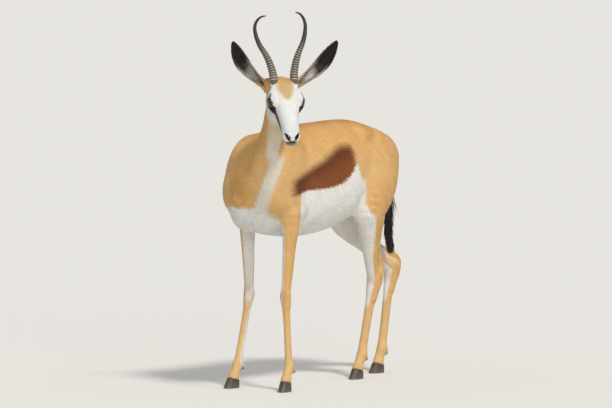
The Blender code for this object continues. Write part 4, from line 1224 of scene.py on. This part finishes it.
def ear_rings(side, steps, sides, thin=0.0006):
    """Points of an ear in rings, with for each: inner or not, share of the length, how far round."""
    root = on_head((side * EAR_ROOT[0], EAR_ROOT[1], EAR_ROOT[2]))
    out, back, up = EAR_TIP["left" if side > 0 else "right"]
    reach = np.array((side * out, back, up)) @ LEVEL_AXES
    length, rise = np.linalg.norm(reach) - thin, unit(reach)
    front = -LEVEL_AXES[1] + EAR_FACING * HEAD_AXES[0]
    front = unit(front - rise * (front @ rise))
    wide = np.cross(rise, front)
    table = smooth_rows(EAR_HALVES, 4).T
    points, facts = [], []
    for share in np.linspace(-0.15, 0.995, steps):
        half = max(np.interp(share, table[0], table[1]) - thin, 0.0006)
        roll = 2.25 * (1 - max(share, 0)) ** 1.6 + 0.62
        wall = min((EAR_WALL - 1.4 * thin) * (1.35 - 0.55 * share), half)
        bulge = math.sin(math.pi * max(share, 0))
        middle = root + rise * length * share - front * (0.010 * bulge - 0.004 * share) + side * 0.014 * bulge * wide
        radius = half / math.sin(min(roll, math.pi / 2))
        angles = np.linspace(-roll, roll, sides)
        shift = front * radius * math.cos(min(roll, math.pi / 2))
        for inner, turns in ((0, angles), (1, angles[::-1])):
            for t in turns:
                ripple = 0.0006 * math.sin(abs(t) / roll * 22) * (1 - share)
                span = radius - wall + ripple if inner else radius - thin
                points.append(middle + shift + span * (math.sin(t) * wide - math.cos(t) * front))
                facts.append((inner, share, t / roll * side))
    return np.array(points), np.array(facts), rise, front, wide


def ear_colour(facts):
    """Tan behind, dark inside with pale hair at the base and along the edges."""
    inner, share, round_ = facts.T
    edge = np.abs(round_)
    back = mixed(plain(TAN * 0.95, facts), TAN_PALE, ramp(0.4, 0.0, share))
    back = mixed(back, DARK * 1.5, 0.75 * ramp(0.86, 1.0, share))
    inside = mixed(plain(EAR_DARK, facts), EAR_PALE, 0.80 * ramp(0.62, 0.95, edge) * ramp(0.62, 0.38, share))
    inside = mixed(inside, EAR_PALE, 0.80 * ramp(0.46, 0.26, share + 0.12 * round_))
    rim = ramp(0.90, 0.99, edge)
    found = np.where(inner[:, None] > 0, inside, back)
    found = mixed(found, np.array((0.055, 0.045, 0.038)), rim * ramp(0.35, 0.6, share))
    lower = rim * 0.8 * ramp(0.05, 0.2, share) * ramp(0.6, 0.4, share)
    return mixed(found, np.array((0.40, 0.34, 0.27)), lower)


def fine_ear(name, side, material):
    steps, sides = 46, 22
    points, facts, *_ = ear_rings(side, steps, sides)
    tube_piece(name, points, steps, sides * 2, ear_colour(facts), material)


def ear_hair(name, side, material):
    """Short hair on the back of the ear and longer, paler hair along its inner edges."""
    steps, sides = 90, 40
    points, facts, rise, front, wide = ear_rings(side, steps, sides)
    grid = points.reshape(steps, sides * 2, 3)
    fact = facts.reshape(steps, sides * 2, 3)
    normal = np.cross(np.roll(grid, -1, 1) - np.roll(grid, 1, 1), np.gradient(grid, axis=0))
    normal /= np.maximum(np.linalg.norm(normal, axis=2), 1e-9)[:, :, None]
    away = grid[:, :sides].mean(1) - grid.mean(1)
    normal *= np.sign(np.sum(normal[:, :sides].mean(1) * away, 1)).mean() or 1
    picks = DICE.random((steps, sides * 2))
    back, inside = np.zeros_like(picks, bool), np.zeros_like(picks, bool)
    back[3:-2, :sides] = picks[3:-2, :sides] < 0.85
    inside[10:-3, sides:] = picks[10:-3, sides:] < 0.30 + 0.5 * (np.abs(fact[10:-3, sides:, 2]) > 0.6)
    for chosen, long, width, tag in ((back, 0.0070, 0.0011, "back"), (inside, 0.0120, 0.0010, "inside")):
        n = int(chosen.sum())
        _, share, round_ = fact[chosen].T
        roots = grid[chosen] + DICE.normal(0, 0.0004, (n, 3))
        ways = np.tile(rise, (n, 1)) + DICE.normal(0, 0.16, (n, 3))
        colours = ear_colour(fact[chosen])
        if tag == "inside":
            ways += -wide * (round_ * side * 0.55)[:, None] + front * 0.12
            colours = mixed(colours, np.array((0.55, 0.50, 0.43)), 0.50 * ramp(0.55, 0.20, share))
        colours = colours * (1 + DICE.normal(0, 0.10, (n, 1)))
        lengths = long * (0.7 + 0.6 * DICE.random(n)) * (1 - 0.6 * share**3)
        uv = np.column_stack([(round_ + 1) * 0.2 + 0.05 + 0.5 * (side > 0), share * 0.4 + 0.1])
        tufts("%s_%s" % (name, tag), roots, normal[chosen], ways, lengths, width, 0.0006,
              np.clip(colours, 0.004, 1), uv, material)


def fine_claw(name, place, side, turn, material):
    """One claw: a flat sole, a rounded wall and a point in front."""
    slope = math.tan(math.radians(CORONET_SLOPE))
    outline = smooth_rows([(-0.50, 0.55), (-0.44, 0.85), (-0.26, 0.985), (0.00, 0.985), (0.22, 0.87),
                           (0.38, 0.61), (0.490, 0.12), (0.455, 0.01), (0.20, 0.01), (-0.20, 0.01),
                           (-0.46, 0.01), (-0.50, 0.55)], 3)[:-1]
    points, colours = [], []
    shares = (0.0, 0.015, 0.05, 0.12, 0.25, 0.40, 0.55, 0.70, 0.85, 1.0)
    for share in shares:
        length = CLAW_LENGTH * (1 - 0.32 * share - (0.03 if share == 0 else 0.008 if share < 0.03 else 0))
        width = CLAW_WIDTH * (0.94 + 0.06 * math.sin(math.pi * min(1, share + 0.2)))
        tone = np.array((0.070, 0.052, 0.040)) * (1.5 - 0.8 * share) + 0.05 * max(0, 0.12 - share) / 0.12
        for along, out in outline:
            forward = 0.008 - 0.0085 * share + length * along
            height = (CORONET - GAP + slope * (forward - 0.004)) * share
            across = side * (CLAW_GAP / 2 + width * out)
            points.append((place[0] + across * math.cos(turn) + forward * math.sin(turn),
                           place[1] + across * math.sin(turn) - forward * math.cos(turn), height))
            colours.append(tone)
    piece = tube_piece(name, points, len(shares), len(outline), colours, material)
    piece.data.set_sharp_from_angle(angle=math.radians(55))


def ball_mesh(centre, radii, axes, finer=3):
    """Places on a unit ball, the same on an ellipsoid, and its faces."""
    shape = bmesh.new()
    bmesh.ops.create_icosphere(shape, subdivisions=finer, radius=1.0)
    local = np.array([vertex.co[:] for vertex in shape.verts])
    faces = [tuple(vertex.index for vertex in face.verts) for face in shape.faces]
    shape.free()
    return local, np.asarray(centre) + (local * radii) @ np.asarray(axes), faces


def fine_eye(name, side, material):
    """The eyeball, with a brown iris, a long level pupil and a dark rim."""
    local, points, faces = ball_mesh(eye_centre(side), (EYE_RADIUS - 0.0002,) * 3, eye_axes(side), 5)
    piece = piece_of(name, points, faces, material, [name])
    spread = np.hypot(local[:, 0], local[:, 1])
    level = math.radians(EYE_SLANT)
    along = local[:, 0] * math.cos(level) - local[:, 1] * math.sin(level)
    over = local[:, 0] * math.sin(level) + local[:, 1] * math.cos(level)
    colour = plain(np.array((0.022, 0.010, 0.005)), local)
    colour = mixed(colour, np.array((0.045, 0.020, 0.009)), ramp(0.34, 0.58, spread))
    colour = mixed(colour, np.array((0.020, 0.012, 0.008)), ramp(0.62, 0.72, spread))
    pupil = ramp(1.10, 0.92, np.hypot(along / 0.44, over / 0.24)) * (local[:, 2] > 0)
    paint(piece.data, mixed(colour, np.array((0.0025, 0.0025, 0.003)), pupil))


def eyelashes(name, side, material):
    axes = eye_axes(side)
    up = 1.0 if axes[1] @ HEAD_AXES[2] > 0 else -1.0
    share = np.linspace(-0.80, 0.85, 70)
    x = share * LID_WIDTH
    y = up * (LID_HEIGHT * (1 - share**2) + 0.0004)
    z = np.sqrt(np.maximum(EYE_RADIUS**2 - x**2 - y**2, 0)) + 0.0006
    roots = eye_centre(side) + np.column_stack([x, y, z]) @ axes
    ways = np.column_stack([share * 0.7 + 0.35, np.full_like(x, up * 0.45), np.full_like(x, 0.9)]) @ axes
    ways = ways + DICE.normal(0, 0.10, ways.shape)
    bends = np.tile((np.array((0, up * 0.25, -0.35)) @ axes), (len(x), 1))
    lengths = 0.0095 * (0.8 + 0.4 * DICE.random(len(x)))
    strands(name, roots, ways, bends, lengths, 0.00032, plain(DARK, x), np.full((len(x), 2), 0.5), material,
            3)


def tail_locks(material):
    """The black tuft: overlapping locks off the tail bone, longest at its end."""
    bone = smooth_rows(TAIL, 8)
    n = 520
    height = TAIL_TOP - TAIL_FALL * DICE.random(n) ** 0.85
    table = bone[np.argsort(bone[:, 2])]
    roots = np.column_stack([np.interp(height, table[:, 2], table[:, i]) for i in range(2)] + [height])
    turn = DICE.random(n) * math.tau
    out = np.column_stack([np.cos(turn), np.sin(turn), np.zeros(n)])
    share = (TAIL_TOP - height) / TAIL_FALL
    roots = roots + out * 0.004 * (1 - 0.6 * share)[:, None]
    ways = out * (0.16 + 0.12 * DICE.random(n))[:, None] + np.array((0.0, 0.03, -1.0))
    ways = ways + DICE.normal(0, 0.05, (n, 3))
    bends = -out * 0.10 + np.array((0.02, 0.10, -0.05)) + DICE.normal(0, 0.05, (n, 3))
    length = np.minimum(0.040 + 0.030 * DICE.random(n), (height - TAIL_LOW) * 0.9 + 0.004)
    colours = np.array((0.014, 0.010, 0.008)) * (0.7 + 0.9 * DICE.random((n, 1)))
    colours = np.where((share < 0.10)[:, None], np.array((0.10, 0.055, 0.03)), colours)
    uv = np.column_stack([0.48 + 0.02 * np.cos(turn), 0.5 + 0.02 * np.sin(turn)])
    strands("tail_tuft", roots, ways, bends, length, 0.0021, colours, uv, material, 6)


def fine_foot(kind, side, joints, material):
    """The two claws of a foot and its two dewclaws."""
    x, y, _ = joints[-1]
    for claw_side, sign in SIDES:
        fine_claw("claw_%s_%s_%s" % (kind, side, claw_side), (x, y), sign,
                  foot_turn("%sleg_%s" % (kind, side)), material)
    x, y, z = joints[-2]
    for number, across in ((2, -0.0065), (1, 0.0065)):
        _, points, faces = ball_mesh((x + across, y + 0.0138, z - 0.009), (0.0044, 0.0060, 0.0080), np.eye(3))
        dew = piece_of("dewclaw_%s_%s_%d" % (kind, side, number), points, faces, material)
        paint(dew.data, plain(np.array((0.035, 0.027, 0.022)), points))


def build():
    coat = coat_material("coat_hair", 900.0, 0.0004, 0.64, 0.20)
    bare = coat_material("coat_skin", 700.0, 0.0005, 0.64, 0.20)
    ear_face = coat_material("ear_fur", 900.0, 0.0003, 0.70, 0.25)
    locks = coat_material("tail_strands", 800.0, 0.0003, 0.50, 0.40)
    claw_face, horn_face = horn_material("claw_wall"), horn_material("horn_sheath")
    eye_face = eye_material()
    points, faces = build_skin()
    skin = piece_of("skin", points, faces, bare, (
        "torso", "neck", "head", "tail", "foreleg_left", "foreleg_right", "hindleg_left", "hindleg_right"))
    skin_uv(skin)
    paint(skin.data, coat_colour(points, read(skin.data.vertex_normals, "vector", 3)))
    grow_coat(skin, coat)
    for side, sign in SIDES:
        fine_horn("horn_" + side, sign, horn_face)
        fine_ear("ear_" + side, sign, ear_face)
        ear_hair("earhair_" + side, sign, ear_face)
        fine_eye("eye_" + side, sign, eye_face)
        eyelashes("lashes_" + side, sign, locks)
    tail_locks(locks)
    for kind, table in (("fore", FORE_JOINTS), ("hind", HIND_JOINTS)):
        for side, _ in SIDES:
            fine_foot(kind, side, table[side], claw_face)


def sun(name, way, angle, power):
    light = bpy.data.lights.new(name, "SUN")
    light.angle, light.energy = math.radians(angle), power
    lamp = bpy.data.objects.new(name, light)
    lamp.rotation_euler = Vector(-unit(way)).to_track_quat("-Z", "Y").to_euler()
    bpy.context.collection.objects.link(lamp)


def studio():
    """A pale floor, soft light and the camera of the photo."""
    material, _, surface = nodes_of("floor_plain")
    surface.inputs["Base Color"].default_value = (0.74, 0.71, 0.65, 1)
    surface.inputs["Roughness"].default_value = 0.9
    surface.inputs["Specular IOR Level"].default_value = 0.15
    mesh = bpy.data.meshes.new("floor")
    mesh.from_pydata([(-90, -90, 0), (90, -90, 0), (90, 90, 0), (-90, 90, 0)], [], [(0, 1, 2, 3)])
    floor = bpy.data.objects.new("floor", mesh)
    bpy.context.collection.objects.link(floor)
    mesh.materials.append(material)
    world = bpy.data.worlds.new("studio")
    bpy.context.scene.world = world
    world.use_nodes = True
    world.node_tree.nodes["Background"].inputs["Color"].default_value = (0.92, 0.95, 1.0, 1)
    world.node_tree.nodes["Background"].inputs["Strength"].default_value = 0.58
    sun("key", RIGHT * 0.45 + AWAY * 0.80 + UP * 1.10, 10.0, 2.0)
    sun("fill", RIGHT * 0.30 + AWAY * 1.00 + UP * 0.10, 40.0, 0.7)
    camera = bpy.data.cameras.new("camera")
    camera.sensor_width = 36
    camera.lens = 36 * CAMERA_FAR / (PHOTO_SIZE[0] * METRES_PER_PIXEL)
    camera.clip_start, camera.clip_end = 1, 400
    eye = bpy.data.objects.new("camera", camera)
    aside, above = PHOTO_SIZE[0] / 2 - PHOTO_ORIGIN[0], PHOTO_ORIGIN[1] - PHOTO_SIZE[1] / 2
    centre = SHIFT + (RIGHT * aside + UP * above) * METRES_PER_PIXEL
    eye.location = centre + AWAY * CAMERA_FAR
    eye.rotation_euler = Vector(-AWAY).to_track_quat("-Z", "Y").to_euler()
    bpy.context.collection.objects.link(eye)
    bpy.context.scene.camera = eye
    bpy.context.scene.view_settings.view_transform = "Standard"


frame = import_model()
build()
studio()
